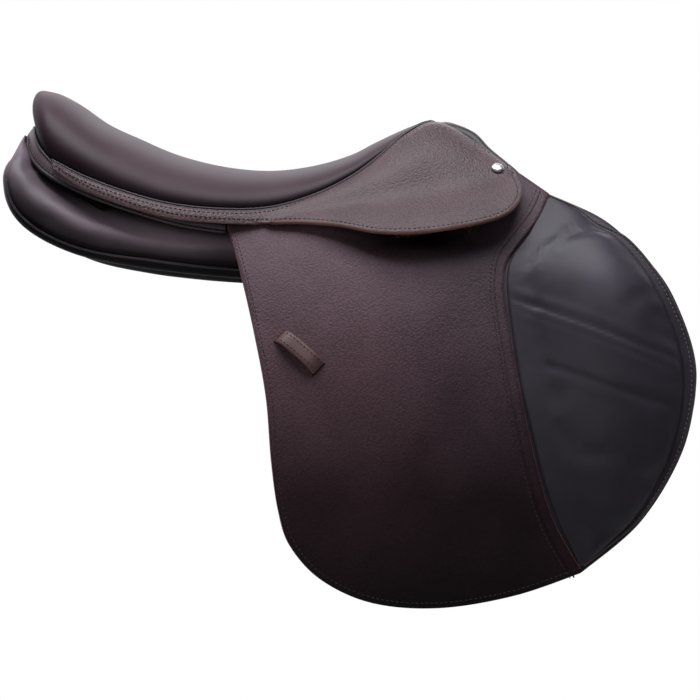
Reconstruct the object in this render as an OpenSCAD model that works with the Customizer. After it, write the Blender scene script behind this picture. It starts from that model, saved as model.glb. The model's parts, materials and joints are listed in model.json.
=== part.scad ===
// Close contact jumping saddle: tree, seat, skirts, flaps, panels, stirrup bars and girth straps.
// X runs forward to the pommel, Y to the near side, Z up. X = 0 lies under the deepest point of the
// seat and Z = 0 is the level on which the panels bear.

/* [Leather] */
// Thickness of the grained flap leather
flap_t = 2.5; // [2:0.1:3]
// Thickness of the flap lining
lining_t = 2.4; // [2:0.1:3]
// Thickness of the skirt leather
skirt_t = 3.6; // [3:0.1:4.5]
// Thickness of the sweat flap leather
sweat_t = 4; // [3:0.1:5]
// Thickness of the seat cover
cover_t = 2.6; // [2:0.1:3.2]
// Radius of the seat piping
piping_r = 2.6; // [2:0.1:3]

/* [Seat] */
// Height of the seat foam under the rider
foam_t = 11; // [8:0.5:13]

/* [Knee pad] */
// Greatest height of the knee pad above the flap
pad_h = 24; // [16:1:28]

/* [Panels] */
// Distance from the middle of the saddle to the inner side of a panel
gullet_half = 29; // [25:1:32]
// Radius of the panel piping
panel_piping_r = 2.2; // [1.6:0.1:2.6]

/* [Girth straps] */
// Width of a girth strap
billet_w = 27; // [22:1:30]
// Thickness of a girth strap
billet_t = 3.5; // [3:0.1:4]
// Spacing of the girth straps
billet_pitch = 46; // [42:1:50]
// Radius of the punched holes
billet_hole_r = 2.3; // [1.8:0.1:2.8]
// Spacing of the punched holes
billet_hole_pitch = 22; // [18:1:26]
// Number of holes in a girth strap
billet_holes = 7; // [4:1:8]
// Height of the buckle guard
guard_h = 70; // [50:1:90]

/* [Stirrup bar] */
// Clear depth behind the bar for the stirrup leather
bar_slot = 7.2; // [6:0.1:7.6]
// Height of the bar
bar_h = 10; // [8:0.5:11]
// Thickness of the bar
bar_t = 4; // [3.5:0.1:4.2]
// Length of the bar plate
bar_plate_l = 70; // [60:1:76]

/* [Keeper] */
// Width of the stirrup leather keeper
keeper_w = 14; // [10:0.5:16]
// Clear height under the keeper
keeper_h = 9; // [7:0.5:11]
// Length of the keeper along the flap
keeper_l = 46; // [40:1:50]

/* [Dee ring] */
// Wire radius of the dee ring
dee_wire_r = 1.9; // [1.5:0.1:2.1]
// Inside width of the dee ring
dee_w = 22; // [18:1:26]

/* [Hidden] */
$fn = 48;

// Colours
leather_c = [0.36, 0.31, 0.33];
dark_c = [0.20, 0.17, 0.18];
edge_c = [0.40, 0.24, 0.20];
steel_c = [0.75, 0.76, 0.78];
brass_c = [0.72, 0.58, 0.30];
wood_c = [0.74, 0.60, 0.42];
foam_c = [0.86, 0.80, 0.62];
web_c = [0.82, 0.80, 0.74];

// Clearance between pieces that lie on each other, and between pieces that slide
lay_gap = 0.3;
slide_gap = 1;

// Drape: the flaps, straps and side plates are layers of one large cylinder. Its axis rises to the
// front by lift and swings in to the front by taper. A layer is named by its height above the
// innermost face, and below the angle bend_end the layers run straight down.
lift = 10;
taper = 6;
drape_r = 500;
// Distance from the middle, height and slope of the innermost face beside the panels
drape_out = 102.82;
drape_up = 30;
drape_lean = 55.25;
axis_y = drape_out - drape_r * sin(drape_lean);
axis_z = drape_up - drape_r * cos(drape_lean);
bend_end = 84;

// Heights of the layers, from the sweat flap outwards
sweat_n = [0, sweat_t];
guard_back_t = 1.6;
guard_back_n = [sweat_n[1] + slide_gap, sweat_n[1] + slide_gap + guard_back_t];
billet_n = [guard_back_n[1] + slide_gap, guard_back_n[1] + slide_gap + billet_t];
guard_t = 1.8;
guard_n = [billet_n[1] + slide_gap, billet_n[1] + slide_gap + guard_t];
lining_n = [guard_n[1] + slide_gap, guard_n[1] + slide_gap + lining_t];
flap_n = [lining_n[1] + lay_gap, lining_n[1] + lay_gap + flap_t];
skirt_n = [flap_n[1] + 2 * lay_gap, flap_n[1] + 2 * lay_gap + skirt_t];
plate_t = 6;
plate_n = [sweat_n[1] + lay_gap, sweat_n[1] + lay_gap + plate_t];
pocket_n = [plate_n[1] + lay_gap, lining_n[0] - lay_gap];

// Heights along the drape of the two bend lines
flap_bend = 4;
skirt_bend = 58;
skirt_stand = 21;
bend_gap = 1;

// Smooth curve through hand chosen points
function spline_bit(a, b, c, d, t) =
    0.5 * (2 * b + (c - a) * t + (2 * a - 5 * b + 4 * c - d) * t * t
        + (3 * b - a - 3 * c + d) * t * t * t);
function along(pts, u) =
    let (n = len(pts) - 1, k = min(floor(u * n), n - 1))
    spline_bit(pts[max(k - 1, 0)], pts[k], pts[k + 1], pts[min(k + 2, n)], u * n - k);
function smooth(pts, steps) = [for (i = [0:steps]) along(pts, i / steps)];
function unit(v) = v / norm(v);
function flip_y(p) = [p[0], -p[1], p[2]];

// Drape geometry: distance from the middle of the layer n at the height z, and its slope angle
function layer_y(z, n) =
    let (r = drape_r + n, z_end = axis_z + r * cos(bend_end))
    z >= z_end
        ? axis_y + sqrt(r * r - (z - axis_z) * (z - axis_z))
        : axis_y + r * sin(bend_end) + (z_end - z) / tan(bend_end);
function layer_angle(z, n) = max(0, min(bend_end, acos((z - axis_z) / (drape_r + n))));
// Point of the saddle at the drape coordinates
function from_drape(p) =
    let (x1 = p[0] * cos(lift) - p[2] * sin(lift), z1 = p[0] * sin(lift) + p[2] * cos(lift))
    [x1 * cos(taper) + p[1] * sin(taper), p[1] * cos(taper) - x1 * sin(taper), z1];
function on_layer(x, z, n) = from_drape([x, layer_y(z, n), z]);

module drape() { rotate([0, 0, -taper]) rotate([0, -lift, 0]) children(); }
module off_side() { mirror([0, 1, 0]) children(); }

// One sheet of the drape between two layers, wide enough for every outline
sheet_x = [-80, 420];
sheet_top = 40;
sheet_drop = 180;
// Depth of the shapes that cut the drape
cut_depth = 400;
module sheet(n) {
    translate([sheet_x[1], axis_y, axis_z]) rotate([0, -90, 0]) {
        rotate([0, 0, sheet_top]) rotate_extrude(angle = bend_end - sheet_top, $fn = 96)
            translate([drape_r + n[0], 0]) square([n[1] - n[0], sheet_x[1] - sheet_x[0]]);
        rotate([0, 0, bend_end]) translate([drape_r + n[0], 0, 0])
            cube([n[1] - n[0], sheet_drop, sheet_x[1] - sheet_x[0]]);
    }
}
// Outline cut square through the drape, seen from the side
module through(pts) {
    translate([0, cut_depth, 0]) rotate([90, 0, 0]) linear_extrude(cut_depth) polygon(pts);
}
module cut_sheet(n, pts) { intersection() { sheet(n); through(pts); } }
// Local frame on a layer: X forward, Y down the slope, Z outwards
module seat_on(x, z, n) {
    translate([x, layer_y(z, n), z]) rotate([-layer_angle(z, n), 0, 0]) children();
}

// Closed skin over a list of rings; each ring goes out along one side and back along the other
module loft(rings) {
    count = len(rings);
    size = len(rings[0]);
    half = size / 2;
    sides = [for (i = [0:count - 2]) for (k = [0:size - 1])
        let (a = i * size + k, b = i * size + (k + 1) % size)
        each [[a, b, b + size], [a, b + size, a + size]]];
    start = [for (k = [0:half - 2])
        each [[k, size - 2 - k, k + 1], [k, size - 1 - k, size - 2 - k]]];
    last = (count - 1) * size;
    stop = [for (k = [0:half - 2])
        each [[last + k, last + k + 1, last + size - 2 - k],
            [last + k, last + size - 2 - k, last + size - 1 - k]]];
    polyhedron([for (ring = rings) each ring], concat(sides, start, stop));
}
// Round tube along a path
function tube_ring(path, i, r, sides) =
    let (n = len(path) - 1,
        t = unit(path[min(i + 1, n)] - path[max(i - 1, 0)]),
        a = unit(cross(t, abs(t[2]) > 0.9 ? [1, 0, 0] : [0, 0, 1])),
        b = cross(t, a))
    [for (k = [0:sides - 1]) path[i] + r * (a * cos(k * 360 / sides) - b * sin(k * 360 / sides))];
module tube(path, r, sides) {
    loft([for (i = [0:len(path) - 1]) tube_ring(path, i, r, sides)]);
}
// Flat band along a path: rows of [x, y, z, roll], wide across the path and thin through it
function band_ring(rows, i, w, t) =
    let (n = len(rows) - 1,
        p = [for (k = [0:2]) rows[i][k]],
        q = [for (k = [0:2]) rows[min(i + 1, n)][k] - rows[max(i - 1, 0)][k]],
        d = unit(q),
        flat = unit(cross(d, [0, 0, 1])),
        tall = cross(flat, d),
        a = flat * cos(rows[i][3]) - tall * sin(rows[i][3]),
        b = flat * sin(rows[i][3]) + tall * cos(rows[i][3]))
    [p - a * w / 2 - b * t / 2, p + a * w / 2 - b * t / 2,
        p + a * w / 2 + b * t / 2, p - a * w / 2 + b * t / 2];
module band(rows, w, t) { loft([for (i = [0:len(rows) - 1]) band_ring(rows, i, w, t)]); }

// Seat: rows from the back of the cantle to the pommel, each a curve from the welt to the middle.
// Welt point, first lean, middle point (x, z), last lean.
seat_rows = [
    [-226, 0, 153, -6, 0, 22, -219, 188, -9, 0, 2],
    [-220.5, 48, 145.5, -9, 3, 29, -214, 187, -7, 26, -1],
    [-212, 82, 128, -6, 5, 38, -200, 183, -8, 44, -4],
    [-197, 101, 112, -4, 7, 38, -180, 172, -8, 58, -2],
    [-168, 116, 97, -2, 7, 34, -154, 154, -6, 66, 0],
    [-132, 123, 83, 0, 6, 28, -124, 140, -2, 70, 0],
    [-89, 123, 71, 0, 5, 24, -86, 124, 0, 68, 0],
    [-42, 116, 66, 0, 4, 20, -42, 113, 0, 62, 0],
    [4, 104, 68, 0, 4, 18, 2, 109, 0, 56, 0],
    [45, 90, 80, 0, 3, 15, 43, 113.5, 0, 48, 0],
    [80, 76, 98, 0, 3, 12, 80, 124, 0, 40, 0],
    [106, 62, 118, 0, 2, 8, 106, 137, 0, 34, 0],
    [130, 48, 138, 0, 2, 5, 131, 148.5, 0, 27, 0],
    [147, 37, 149, 0, 2, 4, 148, 154.5, 0, 20, 0],
    [158, 29, 153, 0, 1, 3, 160, 155.5, 0, 15, 0]
];
seat_steps = 26;
seat_across = 9;
function bezier(a, b, c, d, t) =
    let (s = 1 - t) a * s * s * s + 3 * b * s * s * t + 3 * c * s * t * t + d * t * t * t;
function seat_point(row, t) =
    let (o = [row[0], row[1], row[2]], s = [row[6], 0, row[7]])
    bezier(o, o + [row[3], row[4], row[5]], s + [row[8], row[9], row[10]], s, t);
// Stations run from the off side of the pommel round the cantle to the near side
function seat_station(i) = along(seat_rows, abs(i - seat_steps) / seat_steps);
function seat_grid_point(i, j) =
    let (p = seat_point(seat_station(i), j / seat_across)) i < seat_steps ? flip_y(p) : p;
seat_grid = [for (i = [0:2 * seat_steps]) [for (j = [0:seat_across]) seat_grid_point(i, j)]];
function seat_normal(i, j) =
    let (last = 2 * seat_steps,
        mid = j == seat_across,
        ahead = seat_grid[min(i + 1, last)][j],
        behind = seat_grid[max(i - 1, 0)][j],
        run = mid && i == seat_steps ? [0, 1, 0] : ahead - behind,
        rise = mid
            ? (i == seat_steps ? seat_grid[i][j] - seat_grid[i][j - 1]
                : [0, i < seat_steps ? 1 : -1, 0])
            : seat_grid[i][j + 1] - seat_grid[i][max(j - 1, 0)])
    unit(cross(rise, run));
function seat_inner(i, j, t) =
    let (n = seat_normal(i, j), p = seat_grid[i][j] - t * n) j == seat_across ? [p[0], 0, p[2]] : p;

// Shell between an outer and an inner depth below the seat surface, which may vary across the seat
module seat_layer(outer, inner) {
    stations = 2 * seat_steps;
    m = seat_across;
    spine = (stations + 1) * m;
    side = spine + seat_steps + 1;
    function id(i, j) = j < m ? i * m + j : spine + abs(i - seat_steps);
    function face_points(depth) = concat(
        [for (i = [0:stations]) for (j = [0:m - 1]) seat_inner(i, j, depth[i][j])],
        [for (k = [0:seat_steps]) seat_inner(seat_steps + k, m, depth[seat_steps + k][m])]);
    skin = [for (i = [0:stations - 1]) for (j = [0:m - 1])
        let (a = id(i, j), b = id(i, j + 1), c = id(i + 1, j + 1), d = id(i + 1, j))
        each (b == c ? [[a, b, d]] : [[a, b, c], [a, c, d]])];
    back = [for (f = skin) [f[0] + side, f[2] + side, f[1] + side]];
    hem = [for (i = [0:stations - 1])
        let (a = id(i, 0), b = id(i + 1, 0)) each [[a, b, b + side], [a, b + side, a + side]]];
    front_off = [for (j = [0:m - 1])
        let (a = id(0, j), b = id(0, j + 1)) each [[b, a, a + side], [b, a + side, b + side]]];
    front_near = [for (j = [0:m - 1])
        let (a = id(stations, j), b = id(stations, j + 1))
        each [[a, b, b + side], [a, b + side, a + side]]];
    faces = concat(skin, back, hem, front_off, front_near);
    polyhedron(concat(face_points(outer), face_points(inner)),
        [for (f = faces) [f[0], f[2], f[1]]]);
}
foam_top = cover_t + lay_gap;
foam_edge_t = 3;
foam_front = 0.7;
function even_depth(t) = [for (i = [0:2 * seat_steps]) [for (j = [0:seat_across]) t]];
// The foam is thin at the welt and over the head of the tree
function foam_share(i, j) =
    pow(j / seat_across, 1.5) * min(1, 1.15 - (abs(i / seat_steps - 1) - foam_front) / (1 - foam_front));
function foam_depth() = [for (i = [0:2 * seat_steps]) [for (j = [0:seat_across])
    foam_top + foam_edge_t + (foam_t - foam_edge_t) * foam_share(i, j)]];
module seat_cover() { color(leather_c) seat_layer(even_depth(0), even_depth(cover_t)); }
module seat_foam() { color(foam_c) seat_layer(even_depth(foam_top), foam_depth()); }

// Skirt: strip from the welt to the bend line, tapering to a tail under the cantle.
// Rows of the lower edge from the tail to the front end: x, y, z.
tail_low = [[-197, 106, 103], [-168, 121, 84], [-132, 129, 69], [-89, 130, 57], [-45, 124, 52]];
bend_xs = [2, 45, 85, 120, 150, 180, 209, 237];
skirt_low = concat(tail_low, [for (x = bend_xs)
    on_layer(x, skirt_bend + bend_gap, (skirt_n[0] + skirt_n[1]) / 2)]);
// Rows of the upper edge beside the seat welt and down the front of the pommel
skirt_high = [[-199, 101, 113], [-168, 116, 97], [-132, 123, 83], [-89, 123, 71], [-42, 116, 66],
    [4, 104, 68], [45, 90, 80], [80, 76, 98], [106, 62, 118], [134, 46.5, 143], [163, 30.5, 156],
    [196, 42, 138], [231, 64, 108]];
skirt_bulge = [0, 0.5, 1, 1, 1, 1, 3, 5, 8, 10, 11, 6, 1.5];
skirt_steps = 36;
skirt_across = 5;
welt_gap = 0.9;
welt_room = 2 * piping_r + 2 * welt_gap;
function skirt_span(u) =
    let (hi = along(skirt_high, u), lo = along(skirt_low, u), d = unit(lo - hi))
    [hi + d * welt_room, lo];
function skirt_mid(u, v) =
    let (span = skirt_span(u), b = along(skirt_bulge, u), d = span[1] - span[0],
        out = unit([0, -d[2], d[1]]))
    span[0] + d * v + out * b * 4 * v * (1 - v);
function skirt_out(u, v) =
    let (d = skirt_mid(u, min(v + 0.05, 1)) - skirt_mid(u, max(v - 0.05, 0)))
    unit([0, -d[2], d[1]]);
module skirt_form() {
    rings = [for (i = [0:skirt_steps]) let (u = i / skirt_steps) concat(
        [for (j = [0:skirt_across]) let (v = j / skirt_across)
            skirt_mid(u, v) + skirt_out(u, v) * skirt_t / 2],
        [for (j = [skirt_across:-1:0]) let (v = j / skirt_across)
            skirt_mid(u, v) - skirt_out(u, v) * skirt_t / 2])];
    loft(rings);
}
module skirt_near() { color(leather_c) skirt_form(); }
module skirt_off() { color(leather_c) off_side() skirt_form(); }

// Free lower part of the skirt, standing off the flap over the stirrup bar
paddle_low = [[4, 58], [34, 47], [64, 38], [94, 26], [122, 20], [152, 17.5], [182, 17.5],
    [209, 20], [228, 28], [239, 42], [240, 58]];
module paddle_form() {
    hinge_y = layer_y(skirt_bend, skirt_n[1]);
    drape() intersection() {
        translate([0, hinge_y, skirt_bend]) rotate([skirt_stand, 0, 0])
            translate([0, -hinge_y, -skirt_bend]) sheet(skirt_n);
        through(smooth(paddle_low, 40));
        seat_on(0, skirt_bend, skirt_n[1]) translate([sheet_x[0], bend_gap / 2, -cut_depth / 2])
            cube([sheet_x[1] - sheet_x[0], cut_depth, cut_depth]);
    }
}
module skirt_paddle_near() { color(leather_c) paddle_form(); }
module skirt_paddle_off() { color(leather_c) off_side() paddle_form(); }

// Seat piping beside the welt, from the cantle corner to the pommel
piping_last = skirt_steps * 5 / 6;
module piping_form() {
    path = [for (i = [0:piping_last])
        let (u = i / skirt_steps, hi = along(skirt_high, u), lo = along(skirt_low, u))
        hi + unit(lo - hi) * (piping_r + welt_gap)];
    tube(path, piping_r, 8);
}
module seat_piping_near() { color(dark_c) piping_form(); }
module seat_piping_off() { color(dark_c) off_side() piping_form(); }

// Rolled rim over the front of the pommel arch, thinning down the front edge of the points
rim_r = 9;
rim_end_r = 4.6;
rim_n = (sweat_n[1] + lining_n[0]) / 2;
rim_arch = [[172, 0, 148.5], [180, 17, 146.5], [197, 33, 138], [210.5, 45, 123.5], [227, 59, 109]];
rim_point = [[243, 57], [254, 24], [259, -12]];
rim_half = concat(rim_arch, [for (p = rim_point) on_layer(p[0], p[1], rim_n)]);
rim_last = len(rim_half) - 1;
rim_path = concat([for (i = [rim_last:-1:1]) flip_y(rim_half[i])], rim_half);
rim_steps = 42;
// Radius of the rim at a share of the way from its middle to its ends
function rim_size(share) = rim_r + (rim_end_r - rim_r) * min(1, 1.5 * share);
module pommel_rim() {
    path = smooth(rim_path, rim_steps);
    color(dark_c) loft([for (i = [0:rim_steps])
        tube_ring(path, i, rim_size(abs(2 * i / rim_steps - 1)), 10)]);
}

// Leather facing that closes the top of the pommel from under the seat to the rim
facing_t = 1.8;
facing_x = 148;
facing_fall = 3;
facing_drop = 2;
facing_reach = 2.6;
facing_steps = 10;
module pommel_facing() {
    rings = [for (i = [-facing_steps:facing_steps])
        let (w = i / facing_steps * facing_reach,
            u = (rim_last + w) / (2 * rim_last),
            p = along(rim_path, u),
            q = along(rim_path, u + 0.01) - along(rim_path, u - 0.01),
            lean = norm([q[0], q[1]]) / q[1],
            x = p[0] - rim_size(abs(w) / rim_last) * lean - lay_gap,
            front = p[2] - facing_drop,
            rear = front - facing_fall)
        [[facing_x, p[1], rear - facing_t], [x, p[1], front - facing_t], [x, p[1], front],
            [facing_x, p[1], rear]]];
    color(leather_c) loft(rings);
}

// Binding that covers the back of the cantle above the panels
binding_t = 2.6;
binding_high = [[-226.5, 0, 151], [-221, 51, 142], [-210.5, 85, 123], [-190, 102.5, 102.5],
    [-160, 114.5, 85.5], [-120, 119, 70], [-78, 117, 58], [-36, 109, 52]];
binding_low = [[-230.3, 0, 144.5], [-227.4, 50, 130.6], [-216, 82, 110.7], [-197, 100, 94.8],
    [-160, 116, 76.3], [-120, 121, 61.8], [-78, 119, 49.8], [-36, 111, 43.5]];
module cantle_binding() {
    steps = 20;
    rings = [for (i = [-steps:steps])
        let (u = abs(i) / steps, hi = along(binding_high, u), lo = along(binding_low, u),
            d = along(binding_high, min(u + 0.02, 1)) - along(binding_high, max(u - 0.02, 0)),
            out = u == 0 ? [-0.9, 0, -0.43] : unit(cross(d, lo - hi)),
            pts = [hi + out * binding_t, lo + out * binding_t, lo, hi])
        [for (p = pts) i < 0 ? flip_y(p) : p]];
    color(dark_c) loft([for (i = [0:2 * steps])
        i < steps ? [for (k = [3:-1:0]) rings[i][3 - k]] : rings[i]]);
}

// Panels: padded cushions swept from behind the cantle to under the pommel.
// Rows: x, z of the middle, half width, half depth, roll.
panel_rows = [
    [-232.4, 129.9, 19, 3.2, 0],
    [-231, 115, 30, 10, 2],
    [-229.5, 96, 37, 18, 6],
    [-213, 71.6, 41, 24.2, 10],
    [-172, 51.2, 43, 25.2, 14],
    [-120, 40, 44, 24, 18],
    [-70, 33, 42, 23, 20],
    [-20, 29, 35, 24, 24],
    [40, 28, 38, 25, 31],
    [100, 33, 40, 24, 38],
    [150, 40, 43, 21, 44],
    [190, 49, 42, 16, 48],
    [210, 55, 34, 9, 50]
];
panel_steps = 26;
panel_sides = 16;
panel_power = 0.82;
function bent(v) = sign(v) * pow(abs(v), panel_power);
function panel_row(u) = along(panel_rows, u);
function panel_frame(u) =
    let (r = panel_row(u), a = panel_row(min(u + 0.01, 1)), b = panel_row(max(u - 0.01, 0)),
        t = unit([a[0] - b[0], 0, a[1] - b[1]]),
        side = [0, 1, 0],
        up = cross(t, side),
        across = side * cos(r[4]) - up * sin(r[4]),
        top = up * cos(r[4]) + side * sin(r[4]))
    [[r[0], gullet_half + r[2] * cos(r[4]) + r[3] * sin(r[4]) * 0.5, r[1]], across, top, r[2], r[3]];
function panel_point(u, a) =
    let (f = panel_frame(u)) f[0] + f[1] * f[3] * bent(cos(a)) + f[2] * f[4] * bent(sin(a));
module panel_form() {
    loft([for (i = [0:panel_steps])
        [for (k = [0:panel_sides - 1]) panel_point(i / panel_steps, -k * 360 / panel_sides)]]);
}
module panel_near() { color(dark_c) panel_form(); }
module panel_off() { color(dark_c) off_side() panel_form(); }

// Piping between the two faces of a panel: share of the length and angle round the section
piping_turn = [[0.16, -25], [0.3, -25], [0.37, -20], [0.44, -11], [0.57, -11]];
piping_span = [0.16, 0.56];
panel_piping_steps = 30;
module panel_piping_form() {
    path = [for (i = [0:panel_piping_steps])
        let (u = piping_span[0] + (piping_span[1] - piping_span[0]) * i / panel_piping_steps,
            f = panel_frame(u))
        panel_point(u, lookup(u, piping_turn)) + f[1] * (panel_piping_r + 2 * lay_gap)];
    tube(path, panel_piping_r, 8);
}
module panel_piping_near() { color(dark_c) panel_piping_form(); }
module panel_piping_off() { color(dark_c) off_side() panel_piping_form(); }

// Flap outlines in drape coordinates, as seen from the side
flap_top_z = 58;
flap_rear = [[-36, flap_top_z], [-33, 10], [-32, -50], [-33, -105], [-39, -160], [-41, -205],
    [-36, -238], [-14, -272], [27, -300], [85, -315], [153, -316.5], [217, -307.5]];
pad_front = [[217, -307.5], [277.5, -273.8], [326, -222], [351, -169], [358, -130], [352, -79],
    [341, -48], [324.5, -19], [304, 6.5], [266, 34.5]];
flap_front = [[266, 34.5], [250, 15], [228, -4], [212, -18], [204, -33], [198, -60], [193, -142],
    [194, -205], [200, -259], [217, -307.5]];
flap_crest = [[244, 60], [226, 57], [150, 57]];
lining_outline = concat(smooth(flap_rear, 44), smooth(pad_front, 36), flap_crest);
grain_outline = concat(smooth(flap_rear, 44), [for (i = [35:-1:0]) smooth(flap_front, 36)[i]],
    flap_crest);
module above(z) {
    translate([sheet_x[0], 0, z]) cube([sheet_x[1] - sheet_x[0], cut_depth, cut_depth]);
}
module below(z) { above(z - cut_depth); }
module flap_form() {
    drape() intersection() { cut_sheet(flap_n, grain_outline); below(flap_bend - bend_gap / 2); }
}
module lining_form() {
    drape() intersection() { cut_sheet(lining_n, lining_outline); below(flap_bend - bend_gap / 2); }
}
module flap_top_form() {
    drape() difference() {
        intersection() { cut_sheet([lining_n[0], flap_n[1]], lining_outline); above(flap_bend); }
        bar_rivet_sites(rivet_r + lay_gap / 2);
    }
}
module flap_near() { color(leather_c) flap_form(); }
module flap_off() { color(leather_c) off_side() flap_form(); }
module flap_lining_near() { color(dark_c) lining_form(); }
module flap_lining_off() { color(dark_c) off_side() lining_form(); }
module flap_top_near() { color(leather_c) flap_top_form(); }
module flap_top_off() { color(leather_c) off_side() flap_top_form(); }

// Knee pad: rows of rear edge (x, z), front edge (x, z) and share of the pad height
pad_rows = [
    [236, 0, 302, -1, 0.22],
    [216, -17, 323.5, -20, 0.62],
    [207, -34, 341, -53, 0.92],
    [202, -58, 350, -85, 1],
    [198, -100, 355.5, -126, 1],
    [196, -142, 351, -163, 0.95],
    [197, -180, 336, -200, 0.88],
    [199, -220, 316, -231, 0.75],
    [205, -258, 280, -268, 0.5],
    [214, -290, 238, -293, 0.22]
];
pad_steps = 22;
pad_across = 9;
pad_edge = 2;
// Swell of the pad from its rear edge to its stitched front edge, with two shallow channels
function pad_swell(t) = pow(max(0, sin(180 * pow(t, 1.55))), 0.7);
function channel(u, at) = exp(-pow((u - at) / 0.035, 2));
function pad_channels(u, t) = 1 - 0.16 * (channel(u, 0.27 + 0.06 * t) + channel(u, 0.43 + 0.05 * t));
function pad_point(u, t, face) =
    let (r = along(pad_rows, u),
        x = r[0] + (r[2] - r[0]) * t,
        z = r[1] + (r[3] - r[1]) * t,
        h = pad_edge + (pad_h - pad_edge) * r[4] * pad_swell(t) * pad_channels(u, t),
        n = flap_n[0] + (face ? h : 0))
    from_drape([x, layer_y(z, n), z]);
module knee_pad_form() {
    loft([for (i = [0:pad_steps]) let (u = i / pad_steps) concat(
        [for (j = [0:pad_across]) pad_point(u, j / pad_across, false)],
        [for (j = [pad_across:-1:0]) pad_point(u, j / pad_across, true)])]);
}
module knee_pad_near() { color(dark_c) knee_pad_form(); }
module knee_pad_off() { color(dark_c) off_side() knee_pad_form(); }

// Stirrup leather keeper: an arched strap across the flap
keeper_at = [4, -70];
keeper_turn = 53;
keeper_t = 2.8;
module keeper_form() {
    inner_r = (keeper_l * keeper_l / 4 + keeper_h * keeper_h) / (2 * keeper_h);
    reach = asin(keeper_l / 2 / inner_r);
    drape() seat_on(keeper_at[0], keeper_at[1], flap_n[1] + 2 * lay_gap)
        rotate([0, 0, keeper_turn]) translate([0, keeper_w / 2, keeper_h - inner_r])
        rotate([90, 0, 0]) rotate([0, 0, 90 - reach])
        rotate_extrude(angle = 2 * reach, $fn = 96) translate([inner_r, 0])
        square([keeper_t, keeper_w]);
}
module keeper_near() { color(leather_c) keeper_form(); }
module keeper_off() { color(leather_c) off_side() keeper_form(); }

// Sweat flap behind the girth straps
sweat_edge = [[-24, 44], [-22, -40], [-24, -120], [-30, -190], [-24, -240], [10, -280], [70, -297],
    [150, -299], [214, -286], [272, -252], [318, -200], [336, -140], [328, -80], [306, -30],
    [270, 6], [236, 26], [200, 36], [120, 44], [40, 46], [-24, 44]];
module sweat_form() { drape() cut_sheet(sweat_n, smooth(sweat_edge, 60)); }
module sweat_flap_near() { color(dark_c) sweat_form(); }
module sweat_flap_off() { color(dark_c) off_side() sweat_form(); }

// Side plates of the tree: rail, bearing for the stirrup bar and point
side_plate = [[36, 52], [36, 72], [90, 82], [150, 92], [196, 86], [224, 62], [236, 20], [240, -20],
    [236, -38], [222, -44], [209, -38], [206, -10], [203, 20], [198, 28], [112, 28], [100, 44],
    [70, 50]];
module tree_side_form() {
    drape() difference() {
        cut_sheet(plate_n, side_plate);
        bar_rivet_sites(rivet_r + lay_gap / 2);
    }
}
module tree_side_near() { color(wood_c) tree_side_form(); }
module tree_side_off() { color(wood_c) off_side() tree_side_form(); }

// Leather pocket that holds the lower end of the point, and the room inside it
pocket_edge = [[200, -4], [198, -30], [204, -48], [222, -54], [240, -48], [247, -30], [246, -4]];
pocket_room = [[204, 10], [203, -30], [209, -43], [222, -49], [236, -43], [242.5, -30], [242, 10]];
module pocket_form() {
    drape() difference() {
        cut_sheet([sweat_n[1] + lay_gap, pocket_n[1]], smooth(pocket_edge, 24));
        intersection() {
            sheet([sweat_n[0], pocket_n[0]]);
            through(pocket_room);
        }
    }
}
module point_pocket_near() { color(dark_c) pocket_form(); }
module point_pocket_off() { color(dark_c) off_side() pocket_form(); }

// Head of the tree: arch over the withers between the side plates
head_slope = 12;
head_half = [[153, 0, 132, 0], [156, 13, 129, 14], [160, 26.5, 121.6, 32], [165, 38.2, 112, 46],
    [170, 48.8, 101, 54]];
head_rows = concat([for (i = [len(head_half) - 1:-1:1]) [head_half[i][0], -head_half[i][1],
    head_half[i][2], -head_half[i][3]]], head_half);
head_steps = 24;
head_w = 34;
head_t = 8;
function arch_out(row) =
    unit([sin(head_slope) * cos(row[3]), sin(row[3]), cos(head_slope) * cos(row[3])]);
function arch_ring(row, w, t, drop) =
    let (p = [row[0], row[1], row[2]],
        along_x = [cos(head_slope), 0, -sin(head_slope)],
        out = arch_out(row),
        c = p - out * drop)
    [c - along_x * w / 2 - out * t / 2, c + along_x * w / 2 - out * t / 2,
        c + along_x * w / 2 + out * t / 2, c - along_x * w / 2 + out * t / 2];
module tree_head() {
    rows = smooth(head_rows, head_steps);
    color(wood_c) loft([for (r = rows) arch_ring(r, head_w, head_t, 0)]);
}
// Steel plate under the head
head_plate_t = 3;
head_plate_w = 26;
module head_plate() {
    rows = smooth(head_rows, head_steps);
    drop = head_t / 2 + lay_gap + head_plate_t / 2;
    color(steel_c) loft([for (r = rows) arch_ring(r, head_plate_w, head_plate_t, drop)]);
}
// Leather facing down the front of the head, below the rim
arch_facing_h = 20;
arch_facing_rows = [5:head_steps - 5];
module arch_facing() {
    rows = smooth(head_rows, head_steps);
    ahead = head_w / 2 + 2 * lay_gap + facing_t / 2;
    shift = ahead * [cos(head_slope), 0, -sin(head_slope)];
    color(dark_c) loft([for (i = arch_facing_rows)
        [for (p = arch_ring(rows[i], facing_t, arch_facing_h, 0)) p + shift]]);
}
// Rivet heads under the head plate
head_rivet_r = 3.6;
head_rivet_h = 2;
head_rivet_rows = [4, 9, 15, 20];
module head_rivets() {
    rows = smooth(head_rows, head_steps);
    drop = head_t / 2 + 4 * lay_gap + head_plate_t;
    color(steel_c) for (k = head_rivet_rows) {
        p = [rows[k][0], rows[k][1], rows[k][2]];
        out = arch_out(rows[k]);
        translate(p - out * drop) rotate([0, acos(out[2]), atan2(out[1], out[0])])
            translate([0, 0, -head_rivet_h]) cylinder(h = head_rivet_h, r = head_rivet_r);
    }
}

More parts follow.
